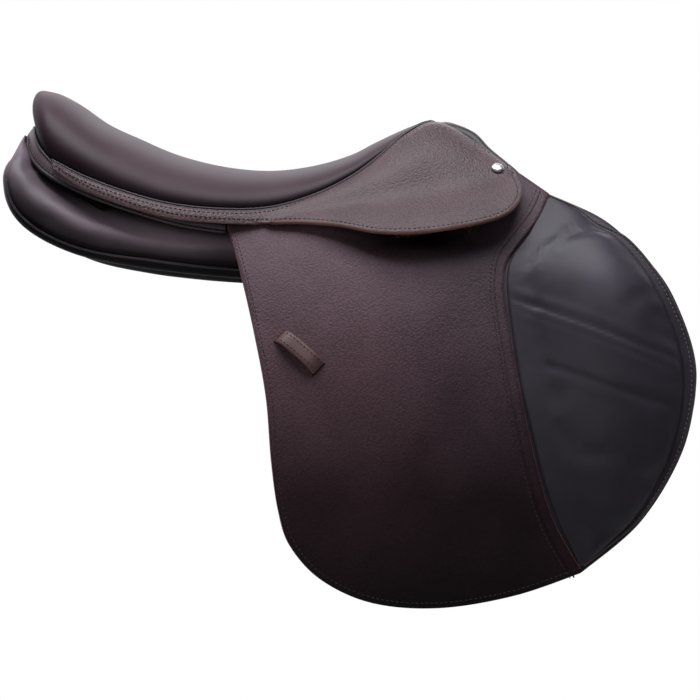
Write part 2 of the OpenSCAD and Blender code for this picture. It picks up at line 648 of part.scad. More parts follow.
// Rear half of the tree: both rails and the cantle
cantle_half = [[-214, 0, 132, -64], [-208, 38, 126, -60], [-187, 68, 108, -46], [-150, 84, 88, -34],
    [-100, 86, 73, -28], [-50, 84, 65, -26], [0, 82, 64, -28], [31.8, 77.8, 68.2, -34]];
cantle_rows = concat([for (i = [len(cantle_half) - 1:-1:1]) [cantle_half[i][0],
    -cantle_half[i][1], cantle_half[i][2], cantle_half[i][3]]], cantle_half);
cantle_w = 28;
cantle_t = 8;
module tree_cantle() { color(wood_c) band(smooth(cantle_rows, 48), cantle_w, cantle_t); }

// Straining web from the head to the cantle, under the foam
seat_web_w = 56;
seat_web_t = 1.6;
seat_web_path = [[128, 0, 129, 0], [106, 0, 119, 0], [80, 0, 107.5, 0],
    [43, 0, 97, 0], [0, 0, 92.5, 0], [-42, 0, 96.5, 0], [-86, 0, 107, 0], [-124, 0, 121, 0],
    [-154, 0, 133, 0], [-186, 0, 146, 0]];
module seat_web() { color(web_c) band(smooth(seat_web_path, 30), seat_web_w, seat_web_t); }

// Lining of the gullet between the panels. Rows: x, z of the middle, half width, drop at the edges.
lining_rows = [[-200, 100, 38, 4], [-172, 84.5, 40, 5], [-120, 70, 40, 5.2], [-70, 61.5, 38, 5.2],
    [-20, 56, 36, 6], [40, 60, 34, 6], [100, 75, 32, 8], [140, 91, 30, 10], [158, 99, 28, 10]];
gullet_lining_t = 1.8;
module gullet_lining() {
    across = 8;
    rings = [for (r = smooth(lining_rows, 24)) concat(
        [for (j = [-across / 2:across / 2]) let (v = 2 * j / across)
            [r[0], v * r[2], r[1] - r[3] * v * v + gullet_lining_t]],
        [for (j = [across / 2:-1:-across / 2]) let (v = 2 * j / across)
            [r[0], v * r[2], r[1] - r[3] * v * v]])];
    color(dark_c) loft(rings);
}

// Webs over the tree that carry the girth straps
billet_mid = 104;
function billet_x(k) = billet_mid + k * billet_pitch;
web_w = 30;
web_t = 1.6;
web_n = [billet_n[1] + lay_gap, billet_n[1] + lay_gap + web_t];
web_low = 2;
web_top = 56;
billet_top = 21;
module web_form(k) {
    left = billet_x(k) - web_w / 2;
    right = billet_x(k) + web_w / 2;
    drape() difference() {
        cut_sheet(web_n, [[left, web_low], [right, web_low], [right, web_top], [left, web_top]]);
        bar_rivet_sites(rivet_r + lay_gap / 2);
    }
}
module girth_webs() {
    color(web_c) for (k = [-1:1]) {
        web_form(k);
        off_side() web_form(k);
    }
}

// Girth straps with their rows of holes
billet_low = -236;
billet_first = -96;
billet_tip = 14;
billet_tip_share = 0.4;
module billet_form(k) {
    x = billet_x(k);
    r = billet_w / 2;
    end_r = r * billet_tip_share;
    outline = [[x - r, billet_top], [x + r, billet_top], [x + r, billet_low + billet_tip],
        [x + end_r, billet_low], [x - end_r, billet_low], [x - r, billet_low + billet_tip]];
    drape() difference() {
        cut_sheet(billet_n, outline);
        for (i = [0:billet_holes - 1]) {
            z = billet_first - i * billet_hole_pitch * sin(layer_angle(billet_first, billet_n[0]));
            seat_on(x, z, billet_n[0]) translate([0, 0, -billet_t])
                cylinder(h = 3 * billet_t, r = billet_hole_r);
        }
    }
}
module billet_front_near() { color(edge_c) billet_form(1); }
module billet_middle_near() { color(edge_c) billet_form(0); }
module billet_rear_near() { color(edge_c) billet_form(-1); }
module billet_front_off() { color(edge_c) off_side() billet_form(1); }
module billet_middle_off() { color(edge_c) off_side() billet_form(0); }
module billet_rear_off() { color(edge_c) off_side() billet_form(-1); }

// Buckle guard threaded on the three straps
guard_top = -44;
guard_side = 6;
guard_loop_h = 22;
guard_slot_room = 3;
guard_corner = [16, 18];
guard_belly = 4;
module guard_form() {
    left = billet_x(-1) - billet_w / 2 - guard_side;
    right = billet_x(1) + billet_w / 2 + guard_side;
    low = guard_top - guard_h;
    mid = (left + right) / 2;
    corner = low + guard_corner[1];
    turn = low + guard_belly;
    front = concat([[left, guard_top]],
        smooth([[left, corner], [left + guard_corner[0], turn], [mid, low - guard_belly],
            [right - guard_corner[0], turn], [right, corner]], 20),
        [[right, guard_top]]);
    drape() {
        cut_sheet(guard_n, front);
        difference() {
            cut_sheet([guard_back_n[0], guard_n[0] + guard_t / 2], [[left, guard_top],
                [left, guard_top - guard_loop_h], [right, guard_top - guard_loop_h],
                [right, guard_top]]);
            for (k = [-1:1]) {
                room = billet_w / 2 + guard_slot_room;
                slot_top = guard_top + guard_slot_room;
                slot_low = guard_top - guard_loop_h - guard_slot_room;
                intersection() {
                    sheet([guard_back_n[1], guard_n[0]]);
                    through([[billet_x(k) - room, slot_top], [billet_x(k) + room, slot_top],
                        [billet_x(k) + room, slot_low], [billet_x(k) - room, slot_low]]);
                }
            }
        }
    }
}
module buckle_guard_near() { color(leather_c) guard_form(); }
module buckle_guard_off() { color(leather_c) off_side() guard_form(); }

// Stirrup bar: plate on the flap, foot at the front and a bar open to the rear
bar_at = [150, 20];
bar_plate_t = 2.2;
bar_plate_h = 24;
bar_foot_l = 12;
bar_arm_up = 7;
bar_z = bar_plate_t + bar_slot;
bar_lap = 11;
rivet_r = 2.5;
bar_plate_low = 4;
bar_shift = 6;
bar_over = 2;
bar_plate_x = bar_shift - bar_plate_l / 2;
bar_rear_x = bar_plate_x - bar_over;
bar_front_x = bar_plate_x + bar_plate_l;
rivet_y = -17;
rivet_inset = [10, 28];
rivet_xs = [bar_plate_x + rivet_inset[0], bar_front_x - rivet_inset[1]];
rivet_site_l = 60;
bar_seat_n = flap_n[1] + lay_gap;
module bar_place() { drape() seat_on(bar_at[0], bar_at[1], bar_seat_n) children(); }
module bar_rivet_sites(r) {
    seat_on(bar_at[0], bar_at[1], bar_seat_n) for (x = rivet_xs)
        translate([x, rivet_y, 0]) cylinder(h = rivet_site_l, r = r, center = true);
}
module rounded_bar(x0, x1, y0, y1, z0, z1) {
    translate([0, 0, z0]) linear_extrude(z1 - z0) {
        r = (y1 - y0) / 2;
        translate([x0 + r, y0 + r]) circle(r);
        translate([x0 + r, y0]) square([x1 - x0 - r, y1 - y0]);
    }
}
module bar_form() {
    bar_place() difference() {
        union() {
            translate([bar_plate_x, -bar_plate_h, 0])
                cube([bar_plate_l, bar_plate_h - bar_plate_low, bar_plate_t]);
            translate([bar_front_x - bar_foot_l, -bar_arm_up, 0])
                cube([bar_foot_l, bar_arm_up + bar_h, bar_z]);
            translate([bar_rear_x + bar_lap, 0, bar_z])
                cube([bar_front_x - bar_rear_x - bar_lap, bar_h, bar_t]);
            rounded_bar(bar_rear_x, bar_rear_x + bar_lap + 1, 0, bar_h, bar_z,
                bar_z + bar_t / 2 - lay_gap / 2);
        }
        for (x = rivet_xs) translate([x, rivet_y, 0])
            cylinder(h = 3 * bar_plate_t, r = rivet_r + lay_gap / 3, center = true);
        translate([bar_rear_x + bar_lap / 2, bar_h / 2, bar_z])
            cylinder(h = 2 * bar_t, r = pin_r + pin_press, center = true);
    }
}
module stirrup_bar_near() { color(brass_c) bar_form(); }
module stirrup_bar_off() { color(brass_c) off_side() bar_form(); }
// Rivets through the bar plate, the flap and the tree
rivet_head_r = 4;
rivet_head_t = 1.2;
module rivet_form() {
    depth = bar_seat_n - plate_n[0];
    bar_place() for (x = rivet_xs) translate([x, rivet_y, 0]) {
        translate([0, 0, -depth]) cylinder(h = depth + bar_plate_t + lay_gap, r = rivet_r);
        translate([0, 0, bar_plate_t + lay_gap / 2]) cylinder(h = rivet_head_t, r = rivet_head_r);
    }
}
module bar_rivets() {
    color(steel_c) {
        rivet_form();
        off_side() rivet_form();
    }
}
// Safety catch on the open end of the bar, and its pin
pin_r = 1.8;
pin_gap = 0.15;
pin_press = 0.05;
pin_proud = 0.4;
catch_l = 12;
module catch_form() {
    bar_place() difference() {
        union() {
            translate([bar_rear_x + bar_lap / 2, bar_h / 2, bar_z + bar_t / 2 + lay_gap / 2])
                cylinder(h = bar_t / 2 - lay_gap / 2, r = bar_h / 2);
            translate([bar_rear_x + bar_lap / 2 - catch_l, 0, bar_z + bar_t / 2 + lay_gap / 2])
                cube([catch_l, bar_h, bar_t / 2 - lay_gap / 2]);
        }
        translate([bar_rear_x + bar_lap / 2, bar_h / 2, bar_z])
            cylinder(h = 2 * bar_t, r = pin_r + pin_gap);
    }
}
module bar_catch_near() { color(brass_c) catch_form(); }
module bar_catch_off() { color(brass_c) off_side() catch_form(); }
module pin_form() {
    bar_place() translate([bar_rear_x + bar_lap / 2, bar_h / 2, bar_z])
        cylinder(h = bar_t + pin_proud, r = pin_r);
}
module catch_pin_near() { color(steel_c) pin_form(); }
module catch_pin_off() { color(steel_c) off_side() pin_form(); }

// Dee ring on a leather chape under the front of the skirt
dee_at = [212, 34];
dee_stand = 5;
dee_n = flap_n[1] + dee_stand;
chape_t = 1.8;
chape_play = 6;
module dee_place() { drape() seat_on(dee_at[0], dee_at[1], dee_n) children(); }
module dee_form() {
    r = dee_w / 2 + dee_wire_r;
    dee_place() {
        rotate([0, 90, 0]) cylinder(h = 2 * r, r = dee_wire_r, center = true);
        rotate_extrude(angle = 180) translate([r, 0]) circle(dee_wire_r);
    }
}
module dee_ring_near() { color(steel_c) dee_form(); }
module dee_ring_off() { color(steel_c) off_side() dee_form(); }
chape_w = dee_w - chape_play;
chape_up = 14;
module chape_form() {
    hole = dee_wire_r + lay_gap;
    out = hole + chape_t;
    base = lay_gap - dee_stand;
    dee_place() difference() {
        union() {
            rotate([0, 90, 0]) cylinder(h = chape_w, r = out, center = true);
            translate([-chape_w / 2, -chape_up, base]) cube([chape_w, chape_up, -base]);
        }
        rotate([0, 90, 0]) cylinder(h = chape_w + 2, r = hole, center = true);
    }
}
module dee_chape_near() { color(leather_c) chape_form(); }
module dee_chape_off() { color(leather_c) off_side() chape_form(); }

// Domed studs that fasten the front of the skirts to the head
stud_r = 5.8;
stud_h = 3;
stud_at = [0.956, 0.78];
module stud_form() {
    p = skirt_mid(stud_at[0], stud_at[1]);
    out = skirt_out(stud_at[0], stud_at[1]);
    seat = p + out * (skirt_t / 2 + 4 * lay_gap);
    translate(seat) rotate([0, acos(out[2]), atan2(out[1], out[0])])
        rotate_extrude() intersection() {
            translate([0, stud_h - stud_ball_r()]) circle(stud_ball_r());
            square([stud_r, stud_h]);
        }
}
function stud_ball_r() = (stud_r * stud_r + stud_h * stud_h) / (2 * stud_h);
module pommel_studs() {
    color(steel_c) {
        stud_form();
        off_side() stud_form();
    }
}

tree_cantle();
tree_head();
tree_side_near();
tree_side_off();
head_plate();
head_rivets();
girth_webs();
seat_web();
gullet_lining();
seat_foam();
seat_cover();
seat_piping_near();
seat_piping_off();
pommel_rim();
pommel_facing();
arch_facing();
cantle_binding();
panel_near();
panel_off();
panel_piping_near();
panel_piping_off();
sweat_flap_near();
sweat_flap_off();
point_pocket_near();
point_pocket_off();
flap_top_near();
flap_top_off();
skirt_near();
skirt_off();
pommel_studs();
stirrup_bar_near();
stirrup_bar_off();
bar_rivets();
catch_pin_near();
catch_pin_off();
dee_chape_near();
dee_chape_off();
flap_near();
flap_off();
flap_lining_near();
flap_lining_off();
knee_pad_near();
knee_pad_off();
keeper_near();
keeper_off();
skirt_paddle_near();
skirt_paddle_off();
billet_front_near();
billet_middle_near();
billet_rear_near();
billet_front_off();
billet_middle_off();
billet_rear_off();
buckle_guard_near();
buckle_guard_off();
bar_catch_near();
bar_catch_off();
dee_ring_near();
dee_ring_off();
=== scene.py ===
import json
import math
import bmesh
import bpy
import numpy as np
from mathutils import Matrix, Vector
from mathutils.kdtree import KDTree


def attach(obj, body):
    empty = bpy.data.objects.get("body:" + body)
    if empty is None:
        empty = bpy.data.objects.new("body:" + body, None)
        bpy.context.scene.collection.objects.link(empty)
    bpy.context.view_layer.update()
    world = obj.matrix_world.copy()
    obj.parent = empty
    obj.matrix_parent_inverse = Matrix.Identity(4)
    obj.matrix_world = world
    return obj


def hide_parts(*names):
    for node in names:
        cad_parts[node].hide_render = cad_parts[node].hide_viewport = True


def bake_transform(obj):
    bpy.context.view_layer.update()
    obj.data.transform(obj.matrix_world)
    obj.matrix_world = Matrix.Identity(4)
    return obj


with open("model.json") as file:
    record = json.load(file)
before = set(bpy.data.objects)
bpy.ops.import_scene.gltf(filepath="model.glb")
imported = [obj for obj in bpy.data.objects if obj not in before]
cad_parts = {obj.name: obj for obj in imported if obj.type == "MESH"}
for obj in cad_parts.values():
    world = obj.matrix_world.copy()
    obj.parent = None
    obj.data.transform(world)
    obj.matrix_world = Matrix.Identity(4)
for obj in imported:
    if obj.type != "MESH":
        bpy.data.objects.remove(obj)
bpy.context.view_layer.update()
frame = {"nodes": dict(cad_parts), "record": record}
SIDES = ("near", "off")
MM = 0.001
MIRROR = np.array([1, -1, 1])

# Drape of the flaps: layers of one large cylinder, in millimetres as in the part's source
LIFT, TAPER = math.radians(10), math.radians(6)
EX = np.array([math.cos(LIFT) * math.cos(TAPER), -math.cos(LIFT) * math.sin(TAPER), math.sin(LIFT)])
EY = np.array([math.sin(TAPER), math.cos(TAPER), 0.0])
EZ = np.array([-math.sin(LIFT) * math.cos(TAPER), math.sin(LIFT) * math.sin(TAPER), math.cos(LIFT)])
DRAPE_R, BEND_END, DRAPE_LEAN = 500.0, math.radians(84), math.radians(55.25)
DRAPE_Y, DRAPE_Z = 102.82, 30.0
AXIS_Y = DRAPE_Y - DRAPE_R * math.sin(DRAPE_LEAN)
AXIS_Z = DRAPE_Z - DRAPE_R * math.cos(DRAPE_LEAN)
LINING_N = (14.9, 17.3)
FLAP_N = (17.6, 20.1)
SKIRT_N = (20.7, 24.3)
FLAP_BEND, SKIRT_BEND, SKIRT_STAND = 4.0, 58.0, math.radians(21)

# Reach of a fold above and below its bend line
FLAP_FOLD, SKIRT_FOLD = (8, 10), (5, 6)

# Stitches: pitch, length, width and height
SKIRT_STITCH = (4.4, 3.1, 1.0, 0.45)
FLAP_STITCH = (4.4, 3.0, 0.9, 0.4)
PAD_STITCH = (4.4, 3.0, 1.0, 0.45)
CANTLE_STITCH = (4.6, 3.0, 0.9, 0.4)
KEEPER_STITCH = (4.0, 2.8, 0.8, 0.35)

# Step along a list of rows by which its direction is read
AHEAD = 0.01

# Distances, in metres, below which points of a mesh are one
SEAT_WELD, SHEET_WELD, FINE_WELD = 0.0002, 0.00002, 0.00001


def layer_y(z, n):
    r = DRAPE_R + n
    z_end = AXIS_Z + r * math.cos(BEND_END)
    curved = AXIS_Y + np.sqrt(np.maximum(r * r - (z - AXIS_Z) ** 2, 0))
    straight = AXIS_Y + r * math.sin(BEND_END) + (z_end - z) / math.tan(BEND_END)
    return np.where(z >= z_end, curved, straight)


def on_layer(x, z, n):
    x, z, n = np.broadcast_arrays(np.asarray(x, float), np.asarray(z, float), np.asarray(n, float))
    return x[..., None] * EX + layer_y(z, n)[..., None] * EY + z[..., None] * EZ


def layer_angle(z, n):
    a = np.arccos(np.clip((np.asarray(z, float) - AXIS_Z) / (DRAPE_R + n), -1, 1))
    return np.minimum(a, BEND_END)[..., None]


def layer_normal(z, n):
    a = layer_angle(z, n)
    return np.sin(a) * EY + np.cos(a) * EZ


def layer_down(z, n):
    a = layer_angle(z, n)
    return np.cos(a) * EY - np.sin(a) * EZ


# Curves
def along(pts, u, mirror=None):
    """Smooth curve through points; with mirror it runs level across the middle plane at its start."""
    pts = np.asarray(pts, float)
    n = len(pts) - 1
    s = np.clip(np.asarray(u, float), 0, 1) * n
    k = np.minimum(s.astype(int), n - 1)
    t = (s - k)[..., None]
    a, b, c, d = pts[np.maximum(k - 1, 0)], pts[k], pts[k + 1], pts[np.minimum(k + 2, n)]
    if mirror is not None:
        a = np.where((k == 0)[..., None], pts[1] * mirror, a)
    return 0.5 * (2 * b + (c - a) * t + (2 * a - 5 * b + 4 * c - d) * t ** 2
                  + (3 * b - a - 3 * c + d) * t ** 3)


def spline(pts, steps):
    return along(pts, np.linspace(0, 1, steps + 1))


def lengths(path):
    return np.concatenate([[0], np.cumsum(np.linalg.norm(np.diff(path, axis=0), axis=1))])


def even(path, count):
    s = lengths(path)
    at = np.linspace(0, s[-1], count)
    return np.stack([np.interp(at, s, path[:, k]) for k in range(path.shape[1])], axis=1)


def unit(v):
    return v / np.maximum(np.linalg.norm(v, axis=-1, keepdims=True), 1e-9)


# Meshes
def make(name, verts, faces, materials, side="near", index=None):
    verts = np.asarray(verts, float) * MM
    if side == "off":
        verts = verts * MIRROR
        faces = [tuple(reversed(f)) for f in faces]
    mesh = bpy.data.meshes.new(name)
    mesh.from_pydata([tuple(v) for v in verts], [], [tuple(int(i) for i in f) for f in faces])
    for m in materials:
        mesh.materials.append(m)
    if index is not None:
        mesh.polygons.foreach_set("material_index", np.asarray(index, np.int32))
    mesh.polygons.foreach_set("use_smooth", [True] * len(mesh.polygons))
    mesh.update()
    obj = bpy.data.objects.new(name, mesh)
    bpy.context.scene.collection.objects.link(obj)
    return obj


def grid_faces(rows, cols, closed=False):
    out = []
    for i in range(rows - 1):
        for j in range(cols if closed else cols - 1):
            a, b = i * cols + j, i * cols + (j + 1) % cols
            out.append((a, b, b + cols, a + cols))
    return out


def grid_normals(grid):
    du = np.gradient(grid, axis=0)
    dv = np.gradient(grid, axis=1)
    return unit(np.cross(du, dv))


def slab(name, outer, inner, materials, side, round_edge=0.6, back=0):
    """Closed sheet between two grids; its walls take the second material and are softly rounded."""
    rows, cols = outer.shape[:2]
    verts = [outer.reshape(-1, 3), inner.reshape(-1, 3)]
    shift = rows * cols
    faces = grid_faces(rows, cols)
    faces += [tuple(reversed([k + shift for k in f])) for f in grid_faces(rows, cols)]
    ring = ([(0, j) for j in range(cols)] + [(i, cols - 1) for i in range(1, rows)]
            + [(rows - 1, j) for j in range(cols - 2, -1, -1)] + [(i, 0) for i in range(rows - 2, 0, -1)])
    ids = [i * cols + j for i, j in ring]
    mid = (outer + inner) / 2
    loop_mid = np.array([mid[i, j] for i, j in ring])
    centre = np.array([mid[min(max(i, 1), rows - 2), min(max(j, 1), cols - 2)] for i, j in ring])
    swell = loop_mid + unit(loop_mid - centre) * round_edge
    verts.append(swell)
    base = 2 * shift
    count = len(ids)
    index = [0] * (len(faces) // 2) + [back] * (len(faces) // 2)
    for k in range(count):
        a, b, m, n = ids[k], ids[(k + 1) % count], base + k, base + (k + 1) % count
        faces.append((b, a, m, n))
        faces.append((n, m, a + shift, b + shift))
        index += [1, 1]
    return make(name, np.concatenate(verts), faces, materials, side, index)


def path_frames(path):
    t = unit(np.gradient(path, axis=0))
    up = np.where(np.abs(t[:, 2:3]) > 0.92, np.array([[1.0, 0, 0]]), np.array([[0, 0, 1.0]]))
    a = unit(np.cross(t, up))
    return a, np.cross(t, a)


def tube_data(path, radius, sides):
    path = np.asarray(path, float)
    r = np.broadcast_to(np.asarray(radius, float), (len(path),))
    a, b = path_frames(path)
    ang = np.arange(sides) * 2 * math.pi / sides
    ring = a[:, None] * np.cos(ang)[None, :, None] - b[:, None] * np.sin(ang)[None, :, None]
    verts = (path[:, None] + ring * r[:, None, None]).reshape(-1, 3)
    faces = grid_faces(len(path), sides, closed=True)
    last = (len(path) - 1) * sides
    faces.append(tuple(range(sides - 1, -1, -1)))
    faces.append(tuple(range(last, last + sides)))
    return verts, [tuple(reversed(f)) for f in faces]


def join(parts):
    verts, faces, shift = [], [], 0
    for v, f in parts:
        verts.append(v)
        faces += [tuple(i + shift for i in q) for q in f]
        shift += len(v)
    return np.concatenate(verts), faces


STITCH_RINGS = [(-0.36, 0.7), (0, 1), (0.36, 0.7)]
STITCH_SIDES, STITCH_LIFT, STITCH_SINK, LOOK_AHEAD = 6, 0.15, 0.2, 0.4


def stitch_data(path, normals, size):
    """Thread laid along a path, one small raised lozenge a stitch."""
    pitch, length, width, height = size
    sides = STITCH_SIDES
    s = lengths(path)
    count = max(int(s[-1] / pitch), 1)
    at = (np.arange(count) + 0.5) * s[-1] / count

    def read(where, values):
        return np.stack([np.interp(where, s, values[:, k]) for k in range(3)], axis=1)

    c = read(at, path)
    t = unit(read(at + LOOK_AHEAD, path) - c + 1e-9)
    n = unit(read(at, normals))
    b = unit(np.cross(n, t))
    n = unit(np.cross(t, b))
    faces = [(0, 1 + (j + 1) % sides, 1 + j) for j in range(sides)]
    for r in range(len(STITCH_RINGS) - 1):
        for j in range(sides):
            a0, b0 = 1 + r * sides + j, 1 + r * sides + (j + 1) % sides
            faces.append((a0, b0, b0 + sides, a0 + sides))
    end = 1 + len(STITCH_RINGS) * sides
    faces += [(end, 1 + 2 * sides + j, 1 + 2 * sides + (j + 1) % sides) for j in range(sides)]
    parts = []
    for k in range(count):
        v = [c[k] - t[k] * length / 2 - n[k] * STITCH_SINK]
        for d, w in STITCH_RINGS:
            for j in range(sides):
                an = 2 * math.pi * j / sides
                v.append(c[k] + t[k] * length * d + b[k] * math.cos(an) * width / 2 * w
                         + n[k] * (math.sin(an) * height * w + STITCH_LIFT))
        v.append(c[k] + t[k] * length / 2 - n[k] * STITCH_SINK)
        parts.append((np.array(v), faces))
    return join(parts)


def seam_data(path, normals, count, size):
    s = even(np.concatenate([path, normals], axis=1), count)
    return stitch_data(s[:, :3], unit(s[:, 3:]), size)


# Materials
def new_material(name):
    mat = bpy.data.materials.new(name)
    mat.use_nodes = True
    return mat, mat.node_tree.nodes["Principled BSDF"]


def wire(mat, node, inputs):
    """Sets inputs of a node: a socket is linked, anything else is a plain value."""
    for key, value in inputs.items():
        if isinstance(value, bpy.types.NodeSocket):
            mat.node_tree.links.new(value, node.inputs[key])
        else:
            node.inputs[key].default_value = value


def add(mat, kind, inputs=None, **settings):
    """New shader node of a kind; gives its outputs."""
    node = mat.node_tree.nodes.new("ShaderNode" + kind)
    for key, value in settings.items():
        setattr(node, key, value)
    wire(mat, node, inputs or {})
    return node.outputs


def ramp(mat, value, stops):
    node = mat.node_tree.nodes.new("ShaderNodeValToRGB")
    e = node.color_ramp.elements
    while len(e) < len(stops):
        e.new(0.5)
    for k, (place, colour) in enumerate(stops):
        e[k].position = place
        e[k].color = (*colour, 1)
    wire(mat, node, {"Fac": value})
    return node.outputs["Color"]


def noise(mat, place, scale, detail):
    return add(mat, "TexNoise", {"Vector": place, "Scale": scale, "Detail": detail})


def bump(mat, height, strength, depth, under=None):
    inputs = {"Strength": strength, "Distance": depth, "Height": height}
    if under is not None:
        inputs["Normal"] = under
    return add(mat, "Bump", inputs)["Normal"]


def multiplied(mat, colour, by, share=1):
    return add(mat, "Mix", {"Factor": share, "A": colour, "B": by},
               data_type="RGBA", blend_type="MULTIPLY")["Result"]


def srgb(r, g, b):
    return tuple(((v / 255 + 0.055) / 1.055) ** 2.4 if v > 10 else v / 255 / 12.92 for v in (r, g, b))


CLOUD, PORES = (16, 5), (900, 3)
PORE_DEPTH, PEBBLE_DEPTH = 0.0005, 0.0012
PEBBLE_SCALE, PEBBLE_SOFT, PEBBLE_DARK = 520, 0.55, 0.3
PEBBLE_WARP, PEBBLE_BEND = (160, 2), (0.0024, 0.0024, 0.0024)


def leather(name, dark, light, pebble=0.0, fine=0.12, rough=0.42, shade=(), painted_facing_light=None, painted_light_pools=(),
            spec=0.4):
    """Leather with a clouded tone, pores and, where asked for, a pebbled grain.

    Shade holds ramps of tone along an axis. The ramp by how far the surface looks up is painted light and
    shade, and dulls the shine too. The pools are round spots of painted highlight and painted shadow:
    centre, radii and level.
    """
    mat, bsdf = new_material(name)
    coord = add(mat, "TexCoord")
    place = coord["Object"]
    cloud = noise(mat, place, *CLOUD)["Fac"]
    colour = ramp(mat, cloud, [(0.3, dark), (0.72, light)])
    wire(mat, bsdf, {"Specular IOR Level": spec})
    grain = None
    if pebble:
        warp = noise(mat, place, *PEBBLE_WARP)["Color"]
        bent = add(mat, "VectorMath", {0: warp, 1: PEBBLE_BEND, 2: place}, operation="MULTIPLY_ADD")[0]
        cells = {"Vector": bent, "Scale": PEBBLE_SCALE, "Smoothness": PEBBLE_SOFT}
        cells = add(mat, "TexVoronoi", cells, feature="SMOOTH_F1")["Distance"]
        valley = ramp(mat, cells, [(0.05, (1, 1, 1)), (0.75, (0, 0, 0))])
        colour = multiplied(mat, colour, valley, PEBBLE_DARK)
        grain = bump(mat, valley, pebble, PEBBLE_DEPTH)
    for axis, low, high, stops in shade:
        at = add(mat, "SeparateXYZ", {"Vector": place})[axis]
        span = add(mat, "MapRange", {"From Min": low, "From Max": high, "Value": at})["Result"]
        colour = multiplied(mat, colour, ramp(mat, span, stops))
    # Painted light and shade by how far the surface looks up, which also dulls the shine
    if painted_facing_light:
        up = add(mat, "SeparateXYZ", {"Vector": coord["Normal"]})["Z"]
        span = add(mat, "MapRange", {"From Min": -1, "Value": up})["Result"]
        painted_facing_shade = ramp(mat, span, [((z + 1) / 2, (v, v, v)) for z, v in painted_facing_light])
        shine = add(mat, "Math", {0: painted_facing_shade, 1: spec}, operation="MULTIPLY")[0]
        wire(mat, bsdf, {"Specular IOR Level": shine})
        colour = multiplied(mat, colour, painted_facing_shade)
    # Round spots of painted highlight and painted shadow
    for centre, radii, level in painted_light_pools:
        away = add(mat, "VectorMath", {0: place, 1: centre}, operation="SUBTRACT")[0]
        away = add(mat, "VectorMath", {0: away, 1: radii}, operation="DIVIDE")[0]
        away = add(mat, "VectorMath", {0: away}, operation="LENGTH")["Value"]
        span = {"To Min": level, "Value": away}
        span = add(mat, "MapRange", span, interpolation_type="SMOOTHSTEP")["Result"]
        colour = add(mat, "VectorMath", {0: colour, "Scale": span}, operation="SCALE")[0]
    gloss = add(mat, "MapRange", {"To Min": rough - 0.07, "To Max": rough + 0.09, "Value": cloud})["Result"]
    pores = bump(mat, noise(mat, place, *PORES)["Fac"], fine, PORE_DEPTH, grain)
    wire(mat, bsdf, {"Base Color": colour, "Roughness": gloss, "Normal": pores})
    return mat


def metal(name, colour, rough, scale=240, depth=0.0002):
    mat, bsdf = new_material(name)
    wear = noise(mat, add(mat, "TexCoord")["Object"], scale, 6)["Fac"]
    gloss = add(mat, "MapRange", {"To Min": rough * 0.6, "To Max": rough * 1.5, "Value": wear})["Result"]
    tone = ramp(mat, wear, [(0.3, tuple(0.8 * v for v in colour)), (0.7, colour)])
    dents = bump(mat, wear, 0.15, depth)
    wire(mat, bsdf, {"Base Color": tone, "Roughness": gloss, "Normal": dents, "Metallic": 1})
    return mat


def woven(name, dark, light, scale, rough=0.85):
    mat, bsdf = new_material(name)
    yarn = {"Vector": add(mat, "TexCoord")["Object"], "Scale": scale, "Distortion": 0.6}
    warp, weft = [add(mat, "TexWave", yarn, bands_direction=axis)["Fac"] for axis in ("X", "Z")]
    cloth = add(mat, "Math", {0: warp, 1: weft}, operation="MULTIPLY")[0]
    tone = ramp(mat, cloth, [(0.1, dark), (0.7, light)])
    wire(mat, bsdf, {"Base Color": tone, "Roughness": rough, "Normal": bump(mat, cloth, 0.4, 0.0004)})
    return mat


# Ramps of tone: down the flap a painted shade, darker towards the bottom, and along it a darker band
FLAP_PAINTED_SHADE = ("Z", -0.31, 0.06, [(0.0, (0.015, 0.003, 0.005)), (0.3, (0.20, 0.135, 0.15)),
                           (0.6, (0.70, 0.62, 0.64)), (1.0, (1, 1, 1))])
BAND = ("X", 0.10, 0.30, [(0.0, (1, 1, 1)), (0.45, (0.62, 0.66, 0.70)), (0.68, (0.62, 0.66, 0.70)),
                          (0.86, (1, 1, 1))])
# Seat: darker on its sides than on top, by how far it looks up: painted shade
seat_mat = leather("seat_leather", srgb(62, 45, 52), srgb(77, 58, 66), fine=0.10, rough=0.48, spec=0.25,
                   painted_facing_light=[(0.0, 0.28), (0.12, 0.32), (0.72, 1)])
skirt_mat = leather("skirt_leather", srgb(84, 64, 68), srgb(106, 83, 87), pebble=0.34, rough=0.46)
# The flap's pool is a painted shadow of the skirt, below the paddle's lower edge
flap_mat = leather("flap_leather", srgb(95, 73, 80), srgb(118, 94, 102), pebble=0.26, rough=0.46, spec=0.16,
                   shade=[FLAP_PAINTED_SHADE, BAND], painted_light_pools=[((0.15, 0, 0.034), (0.125, 9, 0.028), 0.01)])
# Knee pad: darker towards the bottom, painted shade; its first pool is a painted highlight on the swell and
# its second a painted shade above it
PAD_PAINTED_SHADE = ("Z", -0.32, -0.08, [(0.0, (0.2, 0.2, 0.21)), (0.6, (0.75, 0.75, 0.76)), (1.0, (1, 1, 1))])
pad_mat = leather("pad_leather", srgb(46, 41, 49), srgb(59, 53, 62), rough=0.38, spec=0.26, shade=[PAD_PAINTED_SHADE],
                  painted_light_pools=[((0.305, 0, 0.012), (0.085, 9, 0.075), 1.7),
                         ((0.25, 0, 0.09), (0.06, 9, 0.03), 0.5)])
# Panel: a pale base darkened by how far it looks up and at the rear top: painted light on its sides, painted
# shade on its top and underneath
panel_mat = leather("panel_leather", srgb(148, 130, 141), srgb(174, 155, 165), fine=0.10, spec=0.3,
                    painted_facing_light=[(-0.85, 0.03), (-0.45, 0.07), (-0.1, 0.32), (0.1, 0.55), (0.35, 1), (1, 1)],
                    painted_light_pools=[((-0.22, 0, 0.08), (0.10, 9, 0.10), 0.3)])
